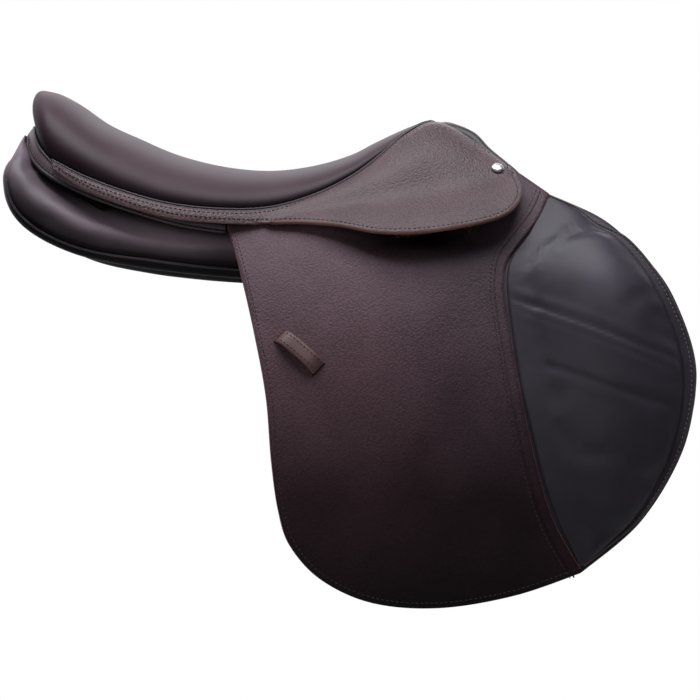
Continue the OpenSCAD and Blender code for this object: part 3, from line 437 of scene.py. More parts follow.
# Cantle binding: a lighter copy of the trim leather, painted light on a strip that lies in shade
lit_binding_mat = leather("binding_leather_painted_light", srgb(86, 73, 80), srgb(108, 93, 100))
# Near-black leather of the sheet tucked under the cantle binding: painted shade
shade_sheet_mat = leather("painted_shade_under", srgb(20, 16, 18), srgb(30, 24, 27), rough=0.62, spec=0.15)
trim_mat = leather("trim_leather", srgb(50, 41, 46), srgb(67, 56, 61), rough=0.40)
lining_mat = leather("lining_leather", srgb(44, 32, 32), srgb(58, 42, 41), fine=0.2, rough=0.5)
strap_mat = leather("strap_leather", srgb(52, 34, 32), srgb(72, 48, 44), fine=0.2, rough=0.46)
edge_mat = leather("edge_leather", srgb(104, 68, 64), srgb(140, 98, 90), fine=0.3, rough=0.6)
keeper_mat = leather("keeper_leather", srgb(88, 62, 64), srgb(112, 82, 82), fine=0.2, rough=0.48)
thread_mat = woven("thread", srgb(96, 82, 82), srgb(150, 134, 132), 900, 0.7)
dark_thread_mat = woven("dark_thread", srgb(28, 20, 21), srgb(60, 46, 46), 900, 0.7)
# Near-black of the keeper's slits: painted shade
slit_shade_mat = leather("painted_slit_shade", srgb(12, 8, 8), srgb(20, 14, 14), fine=0.1, rough=0.8)
chrome_mat = metal("bright_metal", srgb(226, 226, 230), 0.16)
stud_mat = metal("hammered_metal", srgb(214, 214, 218), 0.34, 700, 0.0006)
bar_mat = metal("bar_metal", srgb(196, 164, 98), 0.28)
web_mat = woven("webbing", srgb(66, 60, 54), srgb(104, 96, 86), 420)
foam_mat = leather("foam", srgb(206, 190, 150), srgb(224, 210, 172), fine=0.5, rough=0.9)
# Tree wood darker than bare wood, so the few bits that show between the panels read as shade: painted shade
wood_mat = leather("tree_wood", srgb(58, 44, 36), srgb(82, 64, 52), fine=0.3, rough=0.6)

# Seat, in rows from the cantle to the pommel: welt, first lean, middle, last lean
SEAT_ROWS = [
    [-226, 0, 153, -6, 0, 22, -219, 188, -9, 0, 2], [-220.5, 48, 145.5, -9, 3, 29, -214, 187, -7, 26, -1],
    [-212, 82, 128, -6, 5, 38, -200, 183, -8, 44, -4], [-197, 101, 112, -4, 7, 38, -180, 172, -8, 58, -2],
    [-168, 116, 97, -2, 7, 34, -154, 154, -6, 66, 0], [-132, 123, 83, 0, 6, 28, -124, 140, -2, 70, 0],
    [-89, 123, 71, 0, 5, 24, -86, 124, 0, 68, 0], [-42, 116, 66, 0, 4, 20, -42, 113, 0, 62, 0],
    [4, 104, 68, 0, 4, 18, 2, 109, 0, 56, 0], [45, 90, 80, 0, 3, 15, 43, 113.5, 0, 48, 0],
    [80, 76, 98, 0, 3, 12, 80, 124, 0, 40, 0], [106, 62, 118, 0, 2, 8, 106, 137, 0, 34, 0],
    [130, 48, 138, 0, 2, 5, 131, 148.5, 0, 27, 0], [147, 37, 149, 0, 2, 4, 148, 154.5, 0, 20, 0],
    [158, 29, 153, 0, 1, 3, 160, 155.5, 0, 15, 0]]
SEAT_MIRROR = np.array([1, -1, 1, 1, -1, 1, 1, 1, 1, -1, 1])
SEAT_STEPS, SEAT_ACROSS = 90, 34
ROLL_OUT, ROLL_DOWN, ROLL_STEPS = 8, 6, 7
TUCK_IN, TUCK_UP, TUCK_RISE = 6, 3.0, 0.2


def seat_points(u, t):
    r, ahead, behind = [along(SEAT_ROWS, np.clip(u + d, 0, 1), SEAT_MIRROR) for d in (0, AHEAD, -AHEAD)]
    o, s = r[..., 0:3], np.stack([r[..., 6], 0 * u, r[..., 7]], axis=-1)
    step = ahead - behind
    way = unit(np.stack([step[..., 6], 0 * u, step[..., 7]], axis=-1))
    lean = np.stack([r[..., 8], 0 * u, r[..., 10]], axis=-1)
    lean = way * (way * lean).sum(axis=-1, keepdims=True)
    a, b = o + r[..., 3:6], s + lean + np.stack([0 * u, r[..., 9], 0 * u], axis=-1)
    t = t[..., None]
    q = 1 - t
    return o * q ** 3 + 3 * a * q ** 2 * t + 3 * b * q * t ** 2 + s * t ** 3


def build_seat():
    i = np.arange(-SEAT_STEPS, SEAT_STEPS + 1)
    t = np.linspace(0, 1, SEAT_ACROSS + 1)
    p = seat_points(np.abs(i)[:, None] / SEAT_STEPS * np.ones_like(t), np.ones(len(i))[:, None] * t)
    p[i < 0] = p[i < 0] * MIRROR
    turn = np.linspace(0, math.pi / 2, ROLL_STEPS)[1:]
    roll = [(ROLL_OUT * math.sin(a), -ROLL_DOWN * (1 - math.cos(a))) for a in turn]
    ends = [np.stack([p[k] + np.array([x, 0, z]) for x, z in roll]) for k in (0, -1)]
    p = np.concatenate([ends[0][::-1], p, ends[1]])
    none = 0 * p[:, 0, 0]
    inward = unit(np.stack([none, -np.sign(p[:, 0, 1]), TUCK_RISE + none], axis=1))
    tuck = p[:, 0] + inward * TUCK_IN + np.array([0, 0, TUCK_UP])
    grid = np.concatenate([tuck[:, None], p], axis=1)
    rows, cols = grid.shape[:2]
    faces = [tuple(reversed(f)) for f in grid_faces(rows, cols)]
    obj = make("seat", grid.reshape(-1, 3), faces, [seat_mat])
    merge(obj, SEAT_WELD)
    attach(obj, "saddle")
    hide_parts("seat_cover", "seat_foam")


def merge(obj, dist):
    bm = bmesh.new()
    bm.from_mesh(obj.data)
    bmesh.ops.remove_doubles(bm, verts=bm.verts, dist=dist)
    bmesh.ops.recalc_face_normals(bm, faces=bm.faces)
    bm.to_mesh(obj.data)
    bm.free()


# Skirt: fixed strip beside the welt, then the free part over the stirrup bar
TAIL_LOW = [[-197, 106, 103], [-168, 121, 84], [-132, 129, 69], [-89, 130, 57], [-45, 124, 52]]
BEND_XS = [2, 45, 85, 120, 150, 180, 209, 237]
BEND_ZS = [52.5, 57, 59, 59, 59, 59, 59, 59]
SKIRT_MID_N = (SKIRT_N[0] + SKIRT_N[1]) / 2
SKIRT_LOW = TAIL_LOW + [list(on_layer(x, z, SKIRT_MID_N)) for x, z in zip(BEND_XS, BEND_ZS)]
SKIRT_HIGH = [[-199, 101, 113], [-168, 116, 97], [-132, 123, 83], [-89, 123, 71], [-42, 116, 66],
              [4, 104, 68], [45, 90, 80], [80, 76, 98], [106, 62, 118], [134, 46.5, 143], [163, 30.5, 156],
              [196, 42, 138], [231, 64, 108]]
SKIRT_BULGE = [[v] for v in (0, 0.5, 1, 1, 1, 1, 3, 5, 8, 10, 11, 6, 1.5)]
PADDLE_LOW = [[4, 51.5], [34, 46.5], [64, 38], [94, 26], [122, 20], [152, 17.5], [182, 17.5], [209, 20],
              [228, 28], [239, 42], [240, 58]]
WELT_ROOM, SKIRT_T = 4.6, 3.6
SKIRT_SPANS = len(SKIRT_LOW) - 1
PADDLE_FROM = len(TAIL_LOW) / SKIRT_SPANS
SKIRT_ROWS, SKIRT_TOP, SKIRT_FREE = 121, 12, 18
BEND_AT = SKIRT_TOP - 1
PADDLE_ABOVE, PADDLE_FOOT = 8, -20
SMOOTHINGS, FREE_EASE, TAIL_STEP = 10, 16, 0.02
SEAM_INSET, SEAM_POINTS = 4.0, 500
FRONT_SEAM, TOP_SEAM = slice(0, 14), slice(3, 3 + int(SKIRT_ROWS * 0.93))


def skirt_mid(u, v):
    hi, lo = along(SKIRT_HIGH, u), along(SKIRT_LOW, u)
    hi = hi + unit(lo - hi) * WELT_ROOM
    b = along(SKIRT_BULGE, u)
    d = lo - hi
    out = unit(np.stack([0 * d[..., 0], -d[..., 2], d[..., 1]], axis=-1))
    v = v[..., None]
    return hi + d * v + out * b * 4 * v * (1 - v)


def paddle_points(x, z, n):
    """Point of the free part at drape coordinates seen from the side."""
    hinge = np.array([float(layer_y(SKIRT_BEND, SKIRT_N[1])), SKIRT_BEND])
    zs = np.linspace(SKIRT_BEND + PADDLE_ABOVE, PADDLE_FOOT, 200)
    y, w = layer_y(zs, n) - hinge[0], zs - hinge[1]
    c, s = math.cos(SKIRT_STAND), math.sin(SKIRT_STAND)
    ty, tz = y * c - w * s + hinge[0], y * s + w * c + hinge[1]
    order = np.argsort(tz)
    yy = np.interp(z, tz[order], ty[order])
    return x[..., None] * EX + yy[..., None] * EY + z[..., None] * EZ


def skirt_grid():
    u = np.linspace(0, 1, SKIRT_ROWS)
    v = np.linspace(0, 1, SKIRT_TOP)
    fixed = skirt_mid(u[:, None] * np.ones(SKIRT_TOP), np.ones(SKIRT_ROWS)[:, None] * v)
    s = np.clip((u - PADDLE_FROM) / (1 - PADDLE_FROM), 0, 1)
    knots = [PADDLE_FROM + k / SKIRT_SPANS for k in range(len(BEND_XS))]
    bend_x, bend_z = np.interp(u, knots, BEND_XS), np.interp(u, knots, BEND_ZS) - 1
    edge = even(spline(PADDLE_LOW, 200), 400)
    ex, ez = [np.interp(s, np.linspace(0, 1, len(edge)), edge[:, k]) for k in (0, 1)]
    w = np.linspace(0, 1, SKIRT_FREE + 1)[1:]
    px = bend_x[:, None] + (ex - bend_x)[:, None] * w
    pz = bend_z[:, None] + (ez - bend_z)[:, None] * w
    free = paddle_points(px, pz, SKIRT_MID_N)
    start = fixed[:, -1]
    none = u < PADDLE_FROM
    step = (start[none] - fixed[none, -2])[:, None] * TAIL_STEP
    free[none] = start[none][:, None] + step * w[None, :, None]
    grid = np.concatenate([fixed, free], axis=1)
    for _ in range(SMOOTHINGS):
        g = grid.copy()
        g[:, 2:-2] = (grid[:, 1:-3] + 2 * grid[:, 2:-2] + grid[:, 3:-1]) / 4
        grid = np.where((u >= PADDLE_FROM)[:, None, None], g, grid)
    return grid, u


def skirt_faces():
    """Middle surface of the skirt with the directions out of it, and the share along it."""
    grid, u = skirt_grid()
    n = -grid_normals(grid)
    if np.mean(n[..., 1]) < 0:
        n = -n
    free = np.clip((u - PADDLE_FROM) * FREE_EASE, 0, 1)[:, None, None]
    n[:, BEND_AT:] = unit(n[:, BEND_AT - 1:BEND_AT] * (1 - free) + n[:, BEND_AT:] * free)
    return grid, n, u


FOLD_X = 150


def bend_pair(z, n, reach):
    """Start and end points of a fold across a bend line."""
    p = on_layer(FOLD_X, z, n)
    d = layer_down(np.array([z]), n)[0]
    return p - d * reach[0], p + d * reach[1]


def build_skirt(side):
    grid, n, u = skirt_faces()
    outer, inner = grid + n * SKIRT_T / 2, grid - n * SKIRT_T / 2
    obj = slab("skirt_" + side + "_leather", inner, outer, [skirt_mat, edge_mat], side)
    merge(obj, SHEET_WELD)
    a, b = bend_pair(SKIRT_BEND, SKIRT_N[1], SKIRT_FOLD)
    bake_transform(obj)
    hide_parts("skirt_" + side, "skirt_paddle_" + side)

    # Seams along the lower edge, down the front and beside the welt
    low, low_n = outer[:, -1].copy(), n[:, -1].copy()
    cut = int(SKIRT_ROWS * PADDLE_FROM)
    low[:cut], low_n[:cut] = outer[:cut, BEND_AT], n[:cut, BEND_AT - 1]
    inward = unit(np.cross(unit(np.gradient(low, axis=0)), low_n))
    if np.mean(inward[:, 2]) < 0:
        inward = -inward
    parts = [seam_data(low + inward * SEAM_INSET, low_n, SEAM_POINTS, SKIRT_STITCH)]
    front = outer[-1, FRONT_SEAM]
    back = unit(outer[-3, FRONT_SEAM] - front)
    parts.append(seam_data(front + back * SEAM_INSET, n[-1, FRONT_SEAM], 80, SKIRT_STITCH))
    high = outer[TOP_SEAM, 0]
    down = unit(outer[TOP_SEAM, 2] - high)
    inset = np.interp(u[TOP_SEAM], [0.78, 0.86], [3.2, 7.0])[:, None]
    parts.append(seam_data(high + down * inset, n[TOP_SEAM, 0], SEAM_POINTS, SKIRT_STITCH))
    thread = make("skirt_" + side + "_stitches", *join(parts), [dark_thread_mat], side)
    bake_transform(thread)


WELT_R, WELT_PLACES, WELT_END, WELT_POINTS = 1.2, (1.0, 3.4), 9.7, 180


def build_piping(side):
    u = np.linspace(0, WELT_END / SKIRT_SPANS, 200)
    hi, lo = along(SKIRT_HIGH, u), along(SKIRT_LOW, u)
    d = unit(lo - hi)
    thin = WELT_R * np.clip((1 - np.linspace(0, 1, WELT_POINTS)) / 0.1, 0.2, 1)
    welts = join([tube_data(even(hi + d * k, WELT_POINTS), thin, 10) for k in WELT_PLACES])
    obj = make("seat_welt_" + side, *welts, [trim_mat], side)
    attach(obj, "saddle")
    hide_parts("seat_piping_" + side)


# Pommel rim and studs
RIM_R, RIM_END_R, RIM_TAPER, RIM_STEPS = 9, 4.6, 1.5, 160
RIM_N = (4 + LINING_N[0]) / 2
STUD_ALONG, STUD_DOWN, STUD_LIFT = 0.956, 0.78, 0.3
STUD_R, STUD_H, STUD_DENTS = 6.2, 2.8, 0.025


def build_rim():
    n = RIM_N
    half = [[172, 0, 148.5], [180, 17, 146.5], [197, 33, 138], [210.5, 45, 123.5], [227, 59, 109],
            list(on_layer(243, 57, n)), list(on_layer(254, 24, n)), list(on_layer(259, -12, n))]
    path = [[p[0], -p[1], p[2]] for p in half[:0:-1]] + half
    pts = spline(path, RIM_STEPS)
    at = np.abs(np.linspace(-1, 1, RIM_STEPS + 1))
    r = RIM_R + (RIM_END_R - RIM_R) * np.minimum(1, RIM_TAPER * at)
    obj = make("pommel_roll", *tube_data(pts, r, 20), [trim_mat])
    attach(obj, "saddle")
    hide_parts("pommel_rim")


def build_studs():
    _, n, _ = skirt_faces()
    row, col = round(STUD_ALONG * (SKIRT_ROWS - 1)), round(STUD_DOWN * BEND_AT)
    p = skirt_mid(np.array(STUD_ALONG), np.array(STUD_DOWN))
    out = n[row, col]
    p = p + out * (SKIRT_T / 2 + STUD_LIFT)
    a = unit(np.cross(out, np.array([0, 0, 1.0])))
    b = np.cross(out, a)
    rng = np.random.default_rng(7)
    rings, sides = 6, 16
    verts = []
    for i in range(rings):
        f = i / rings
        rr = STUD_R * math.cos(f * math.pi / 2) ** 0.6
        h = STUD_H * math.sin(f * math.pi / 2)
        for j in range(sides):
            an = 2 * math.pi * (j + 0.5 * (i % 2)) / sides
            k = 1 + STUD_DENTS * rng.standard_normal() * (i > 0)
            verts.append(p + (a * math.cos(an) + b * math.sin(an)) * rr * k + out * h * k)
    verts.append(p + out * STUD_H)
    faces = grid_faces(rings, sides, closed=True)
    last = (rings - 1) * sides
    faces += [(last + j, last + (j + 1) % sides, rings * sides) for j in range(sides)]
    faces.append(tuple(range(sides - 1, -1, -1)))
    v = np.array(verts)
    both = np.concatenate([v, v * MIRROR])
    faces2 = faces + [tuple(reversed([k + len(v) for k in f])) for f in faces]
    obj = make("hammered_studs", both, faces2, [stud_mat])
    merge(obj, FINE_WELD)
    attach(obj, "saddle")
    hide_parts("pommel_studs")


# Cantle binding with a bead along each edge
BINDING_HIGH = [[-226.5, 0, 151], [-221, 51, 142], [-210.5, 85, 123], [-190, 102.5, 102.5],
                [-160, 114.5, 85.5], [-120, 119, 70], [-78, 117, 58], [-36, 109, 52]]
BINDING_LOW = [[-230.3, 0, 144.5], [-227.4, 50, 130.6], [-216, 82, 110.7], [-197, 100, 94.8],
               [-160, 116, 76.3], [-120, 121, 61.8], [-78, 119, 49.8], [-36, 111, 43.5]]
BINDING_STEPS, BINDING_T, BINDING_CROWN = 241, 1.0, 1.6
BINDING_SEAM, BINDING_SEAM_LIFT = 0.68, 2.4
TUCKED, MIDDLE = slice(48, 193), slice(110, 130)
TUCK_STEPS = ((0.8, 0), (-7, 0), (-22, 6))


def build_binding():
    i = np.linspace(-1, 1, BINDING_STEPS)
    u = np.abs(i)
    sign = np.where(i < 0, -1.0, 1.0)[:, None]
    hi, lo = along(BINDING_HIGH, u, MIRROR), along(BINDING_LOW, u, MIRROR)
    hi[:, 1:2] *= sign
    lo[:, 1:2] *= sign
    d = np.gradient(hi, axis=0)
    out = unit(np.cross(d, lo - hi))
    if np.mean(out[MIDDLE, 0]) > 0:
        out = -out
    across = np.linspace(0, 1, 9)
    back = hi[:, None] + (lo - hi)[:, None] * across[None, :, None]
    grid = back + out[:, None] * (BINDING_T + BINDING_CROWN * np.sin(across * math.pi))[None, :, None]
    obj = slab("cantle_strip", grid, back, [lit_binding_mat, lit_binding_mat], "near", 0.3)
    merge(obj, FINE_WELD)
    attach(obj, "saddle")
    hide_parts("cantle_binding")
    beads = [(lo, 1.4, 1.7), (hi, 1.0, 1.5)]
    beads = join([tube_data(even(edge + out * proud, 200), r, 10) for edge, proud, r in beads])
    bead = make("cantle_beads", *beads, [trim_mat])
    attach(bead, "saddle")
    # Dark sheet tucked under the binding's lower edge, closing the gap there: painted shade
    tuck = np.stack([lo + out * o + unit(lo - hi) * d for o, d in TUCK_STEPS], axis=1)[TUCKED]
    tucked = make("cantle_tuck", tuck.reshape(-1, 3), grid_faces(len(tuck), 3), [shade_sheet_mat])
    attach(tucked, "saddle")
    path = hi + (lo - hi) * BINDING_SEAM + out * BINDING_SEAM_LIFT
    seam = seam_data(path, out, 600, CANTLE_STITCH)
    thread = make("cantle_stitches", *seam, [thread_mat])
    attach(thread, "saddle")


# Panels, in rows from the cantle to the pommel: place, half width, half height, roll
PANEL_ROWS = [
    [-231.6, 140, 9, 0.8, 0], [-232.4, 129.9, 19, 3.2, 0], [-231, 115, 30, 10, 2], [-229.5, 96, 37, 18, 6],
    [-213, 71.6, 41, 24.2, 10], [-172, 51.2, 43, 25.2, 14], [-120, 40, 44, 24, 18], [-70, 33, 42, 23, 20],
    [-20, 29, 35, 24, 24], [40, 28, 38, 25, 31], [100, 33, 40, 24, 38], [150, 40, 43, 21, 44],
    [190, 49, 42, 16, 48], [210, 55, 34, 9, 50]]
GULLET_HALF, PANEL_POWER = 29, 0.82
PANEL_STEPS, PANEL_SIDES = 150, 64
SEAM_TURN, SEAM_DEPTH = 0.10, 1.2
PIPED, PIPING_R, PIPING_PROUD = (0.225, 0.62), 1.1, 0.2

# Cloth of the cushions: slack and the furthest movement
PANEL_SOFT, PAD_SOFT = (0.015, 1.2), (0.028, 1.8)
VOXEL, SHRUNK, PRESSURE, STIFFNESS, FRAMES = 0.006, 0.0005, 4, 6, 20
NEIGHBOURS, NEAR = 12, 0.004
RIM_XS, RIM_ZS = [-232, -200, -160, -120, -70, -20], [118, 76, 58, 46, 38, 34]


def panel_welt(u):
    """Turn of the seam round the panel, along it."""
    return np.radians(np.interp(u, [0.225, 0.354, 0.418, 0.483, 0.603], [-25, -25, -20, -11, -11]))


def panel_points(u, a, proud=0.0):
    r = along(PANEL_ROWS, u)
    f, g = [along(PANEL_ROWS, np.clip(u + d, 0, 1)) for d in (AHEAD, -AHEAD)]
    t = unit(np.stack([f[..., 0] - g[..., 0], 0 * u, f[..., 1] - g[..., 1]], axis=-1))
    side = np.array([0, 1.0, 0])
    up = np.cross(t, side)
    roll = np.radians(r[..., 4:5])
    across = side * np.cos(roll) - up * np.sin(roll)
    top = up * np.cos(roll) + side * np.sin(roll)
    c, s = np.cos(a), np.sin(a)
    bc, bs = np.sign(c) * np.abs(c) ** PANEL_POWER, np.sign(s) * np.abs(s) ** PANEL_POWER
    y = GULLET_HALF + r[..., 2] * np.cos(roll[..., 0]) + r[..., 3] * np.sin(roll[..., 0]) * 0.5
    centre = np.stack([r[..., 0], y, r[..., 1]], axis=-1)
    return centre + across * (r[..., 2] * bc + proud)[..., None] + top * (r[..., 3] * bs)[..., None]


def build_panel(side):
    rows, sides = PANEL_STEPS, PANEL_SIDES
    u = np.linspace(0, 1, rows)
    a = -np.arange(sides) * 2 * math.pi / sides
    uu, aa = np.meshgrid(u, a, indexing="ij")
    turn = (aa - panel_welt(uu) + math.pi) % (2 * math.pi) - math.pi
    seam = np.exp(-(turn / SEAM_TURN) ** 2)
    p = panel_points(uu, aa)
    grid = p - seam[..., None] * SEAM_DEPTH * unit(p - p.mean(axis=1, keepdims=True))
    verts = grid.reshape(-1, 3)
    faces = grid_faces(rows, sides, closed=True)
    faces.append(tuple(range(sides - 1, -1, -1)))
    faces.append(tuple(range((rows - 1) * sides, rows * sides)))
    obj = make("panel_" + side + "_cushion", verts, faces, [panel_mat], side)
    merge(obj, FINE_WELD)
    soften(obj, "panel", side, panel_held, PANEL_SOFT)
    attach(obj, "saddle")
    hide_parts("panel_" + side)
    u = np.linspace(*PIPED, 170)
    path = panel_points(u, panel_welt(u), PIPING_PROUD)
    welt = make("panel_" + side + "_welt", *tube_data(even(path, 150), PIPING_R, 10), [trim_mat], side)
    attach(welt, "saddle")
    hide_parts("panel_piping_" + side)


SOFT = {}


def soften(obj, kind, side, held, soft):
    """Cloth with light inner pressure on a coarse copy; the piece takes on the copy's smooth movement."""
    rest = np.empty(len(obj.data.vertices) * 3)
    obj.data.vertices.foreach_get("co", rest)
    rest = rest.reshape(-1, 3)
    mirror = np.array([1, 1, 1]) if side == "near" else MIRROR
    if kind not in SOFT:
        slack, cap = soft
        SOFT[kind] = swell(obj, rest, held, slack, cap * MM)
    tree, move = SOFT[kind]
    out = np.zeros_like(rest)
    for k, v in enumerate(rest * mirror):
        near = tree.find_n(v, NEIGHBOURS)
        w = np.array([1 / (d + NEAR) for _, _, d in near])
        out[k] = (move[[i for _, i, _ in near]] * w[:, None]).sum(axis=0) / w.sum()
    obj.data.vertices.foreach_set("co", (rest + out * mirror).ravel())
    obj.data.update()


def swell(obj, rest, held, slack, cap):
    """Moves a coarse copy as cloth; gives a tree of its points and how far each one went."""
    scene = bpy.context.scene
    copy = bpy.data.objects.new(obj.name + "_soft", obj.data.copy())
    scene.collection.objects.link(copy)
    normals = np.empty(rest.size)
    copy.data.vertices.foreach_get("normal", normals)
    copy.data.vertices.foreach_set("co", (rest - normals.reshape(-1, 3) * SHRUNK).ravel())
    remesh = copy.modifiers.new("remesh", "REMESH")
    remesh.mode = "VOXEL"
    remesh.voxel_size = VOXEL
    coarse = bpy.data.meshes.new_from_object(copy.evaluated_get(bpy.context.evaluated_depsgraph_get()))
    copy.modifiers.clear()
    copy.data = coarse
    start = np.array([v.co for v in coarse.vertices])
    group = copy.vertex_groups.new(name="held")
    for k, w in enumerate(held(start * 1000)):
        group.add([k], float(w), "REPLACE")
    cloth = copy.modifiers.new("cloth", "CLOTH")
    cloth.settings.vertex_group_mass = "held"
    cloth.settings.use_pressure = True
    cloth.settings.uniform_pressure_force = PRESSURE
    cloth.settings.shrink_min = -slack
    cloth.settings.tension_stiffness = cloth.settings.compression_stiffness = STIFFNESS
    cloth.settings.effector_weights.gravity = 0
    cloth.point_cache.frame_end = FRAMES
    for f in range(1, FRAMES + 1):
        scene.frame_set(f)
    done = copy.evaluated_get(bpy.context.evaluated_depsgraph_get()).data
    move = np.array([v.co for v in done.vertices]) - start
    scene.frame_set(1)
    bpy.data.objects.remove(copy)
    long = np.linalg.norm(move, axis=1, keepdims=True)
    move = move * np.minimum(1, cap / np.maximum(long, 1e-9))
    tree = KDTree(len(start))
    for k, v in enumerate(start):
        tree.insert(v, k)
    tree.balance()
    return tree, move


def panel_held(p):
    """One where a panel is held: its rim, inner side, front and the part below its seam."""
    rim = np.interp(p[:, 0], RIM_XS, RIM_ZS)
    free = np.minimum(np.minimum((rim - p[:, 2]) / 14, (p[:, 1] - 62) / 20), (20 - p[:, 0]) / 40)
    u = np.linspace(0.2, 0.65, 60)
    seam = panel_points(u, panel_welt(u))
    free = np.minimum(free, (p[:, 2] - np.interp(p[:, 0], seam[:, 0], seam[:, 2]) - 5) / 12)
    return 1 - np.clip(free, 0, 1)


def pad_held(p):
    """One where a knee pad lies on the flap, and less as it stands off it."""
    y, z = p @ EY, p @ EZ
    return 1 - np.clip((y - layer_y(z, FLAP_N[0]) - 3) / 6, 0, 1)


# Flaps: outlines in drape coordinates
FLAP_REAR = [[-36, 58], [-33, 10], [-32, -50], [-33, -105], [-39, -160], [-41, -205], [-36, -238],
             [-14, -272], [27, -300], [85, -315], [153, -316.5], [217, -307.5]]
PAD_FRONT = [[217, -307.5], [277.5, -273.8], [326, -222], [351, -169], [358, -130], [352, -79], [341, -48],
             [324.5, -19], [304, 6.5], [266, 34.5]]
FLAP_FRONT = [[266, 34.5], [250, 15], [228, -4], [212, -18], [204, -33], [198, -60], [193, -142], [194, -205],
              [200, -259], [217, -307.5]]
FLAP_CREST = [[150, 57], [226, 57], [244, 60], [266, 34.5]]
FLAP_ROWS, FLAP_COLS = 200, 60
REAR_STEPS, FOOT_STEP, FRONT_STEPS = 330, 270, 240
REAR_INSET, FRONT_INSET, CREASE_INSET, CREASE_R = 4.6, 12.5, 9.0, 0.7


def flap_sides(front):
    rear = spline(FLAP_REAR, REAR_STEPS)
    left = rear[:FOOT_STEP + 1]
    crest = np.concatenate([np.linspace(FLAP_CREST[i], FLAP_CREST[i + 1], 30)[:-1] for i in range(3)])
    right = np.concatenate([crest, front, rear[::-1][1:REAR_STEPS - FOOT_STEP + 1]])
    return left, right


def flap_grids(front, layer):
    """Inner and outer face of a layer of the flap that reaches to a front edge."""
    left, right = [even(edge, FLAP_ROWS) for edge in flap_sides(front)]
    v = np.linspace(0, 1, FLAP_COLS)
    flat = left[:, None] + (right - left)[:, None] * v[None, :, None]
    return [on_layer(flat[..., 0], flat[..., 1], n) for n in layer]


def fold_with_flap(obj):
    a, b = bend_pair(FLAP_BEND, FLAP_N[1], FLAP_FOLD)
    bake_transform(obj)


def build_flap(side):
    front = spline(FLAP_FRONT, FRONT_STEPS)
    inner, outer = flap_grids(front, FLAP_N)
    obj = slab("flap_" + side + "_leather", inner, outer, [flap_mat, edge_mat], side, 0.5)
    merge(obj, SHEET_WELD)
    fold_with_flap(obj)
    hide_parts("flap_" + side, "flap_top_" + side)

    inner, outer = flap_grids(spline(PAD_FRONT, FRONT_STEPS)[::-1], LINING_N)
    looks = [lining_mat, trim_mat, pad_mat]
    lining = slab("flap_" + side + "_lining_leather", inner, outer, looks, side, 0.5, 2)
    merge(lining, SHEET_WELD)
    fold_with_flap(lining)
    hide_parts("flap_lining_" + side)

    # Seams along the rear and lower edge and along the front edge, with a crease beside the front one
    rear_path = even(spline(FLAP_REAR, REAR_STEPS)[4:], 440)
    front_path = even(front[2:], 320)
    seams = join([edge_seam(rear_path, REAR_INSET, 1), edge_seam(front_path, FRONT_INSET, -1)])
    thread = make("flap_" + side + "_stitches", *seams, [dark_thread_mat], side)
    fold_with_flap(thread)
    crease = even(offset(front_path, CREASE_INSET, -1), 260)
    path = on_layer(crease[:, 0], crease[:, 1], FLAP_N[1] + 0.1)
    ridge = make("flap_" + side + "_edge_crease", *tube_data(path, CREASE_R, 8), [flap_mat], side)
    fold_with_flap(ridge)


def offset(path, inset, sign):
    t = unit(np.gradient(path, axis=0))
    n = np.stack([-t[:, 1], t[:, 0]], axis=1) * sign
    return path + n * inset


def edge_seam(path, inset, sign):
    q = even(offset(path, inset, sign), 600)
    pts = on_layer(q[:, 0], q[:, 1], FLAP_N[1])
    return stitch_data(pts, layer_normal(q[:, 1], FLAP_N[1]), FLAP_STITCH)


# Knee pad: rear edge, front edge and share of the height, row by row
PAD_ROWS = [
    [262, 31, 268, 31, 0.0], [250, 15.5, 287, 17, 0.1], [236, 0, 302, -1, 0.28], [216, -17, 324, -19.5, 0.64],
    [207, -34, 341, -53, 0.92],
    [202, -58, 350, -85, 1], [198, -100, 355.5, -126, 1], [196, -142, 351, -163, 0.95],
    [197, -180, 336, -200, 0.88], [199, -220, 316, -231, 0.75], [205, -258, 280, -268, 0.5],
    [213, -288, 240, -291, 0.24], [216, -301, 219, -301.5, 0.0]]
PAD_H, PAD_EDGE, PAD_MARGIN = 24.0, 2.0, 0.94
PAD_STEPS, PAD_SEAM, PAD_BEAD_R, PAD_BEAD_N = 170, 0.983, 1.5, 1.4
PAD_PEAK, PAD_FULL = 1.55, 0.7

# Creases of the pad: path, depth and width
CREASES = [([[204, -55], [231, -71], [267, -92], [301, -114], [338, -136]], 1.2, 3.0),
           ([[208, -66], [233, -82], [268, -103], [300, -123], [330, -143]], 0.7, 2.4),
           ([[222, -121], [245, -133], [270, -148], [299, -163], [330, -179]], 0.9, 3.0),
           ([[258, -16], [272, -9], [290, -8], [304, -12]], 0.6, 2.6)]

# Ridge beside a crease: share of its depth, and place and width as shares of its width
RIDGE_SHARE, RIDGE_AT, RIDGE_WIDTH, CREASE_ENDS = 0.5, 2.4, 1.6, 9


def pad_height(x, z, t, share):
    s = np.clip(t / PAD_MARGIN, 0, 1)
    swell = np.maximum(0, np.sin(math.pi * s ** PAD_PEAK)) ** PAD_FULL
    h = PAD_EDGE + (PAD_H - PAD_EDGE) * share * swell
    p = np.stack([x, z], axis=-1)
    for pts, depth, width in CREASES:
        line = even(spline(pts, 60), 90)
        d = np.min(np.linalg.norm(p[..., None, :] - line, axis=-1), axis=-1)
        ends = np.minimum(1, np.minimum(s, 1 - s) * CREASE_ENDS)
        h = h - depth * np.exp(-(d / width) ** 2) * ends
        ridge = np.exp(-((d - RIDGE_AT * width) / (RIDGE_WIDTH * width)) ** 2)
        h = h + RIDGE_SHARE * depth * ridge * ends
    return np.maximum(h, PAD_EDGE * 0.8)


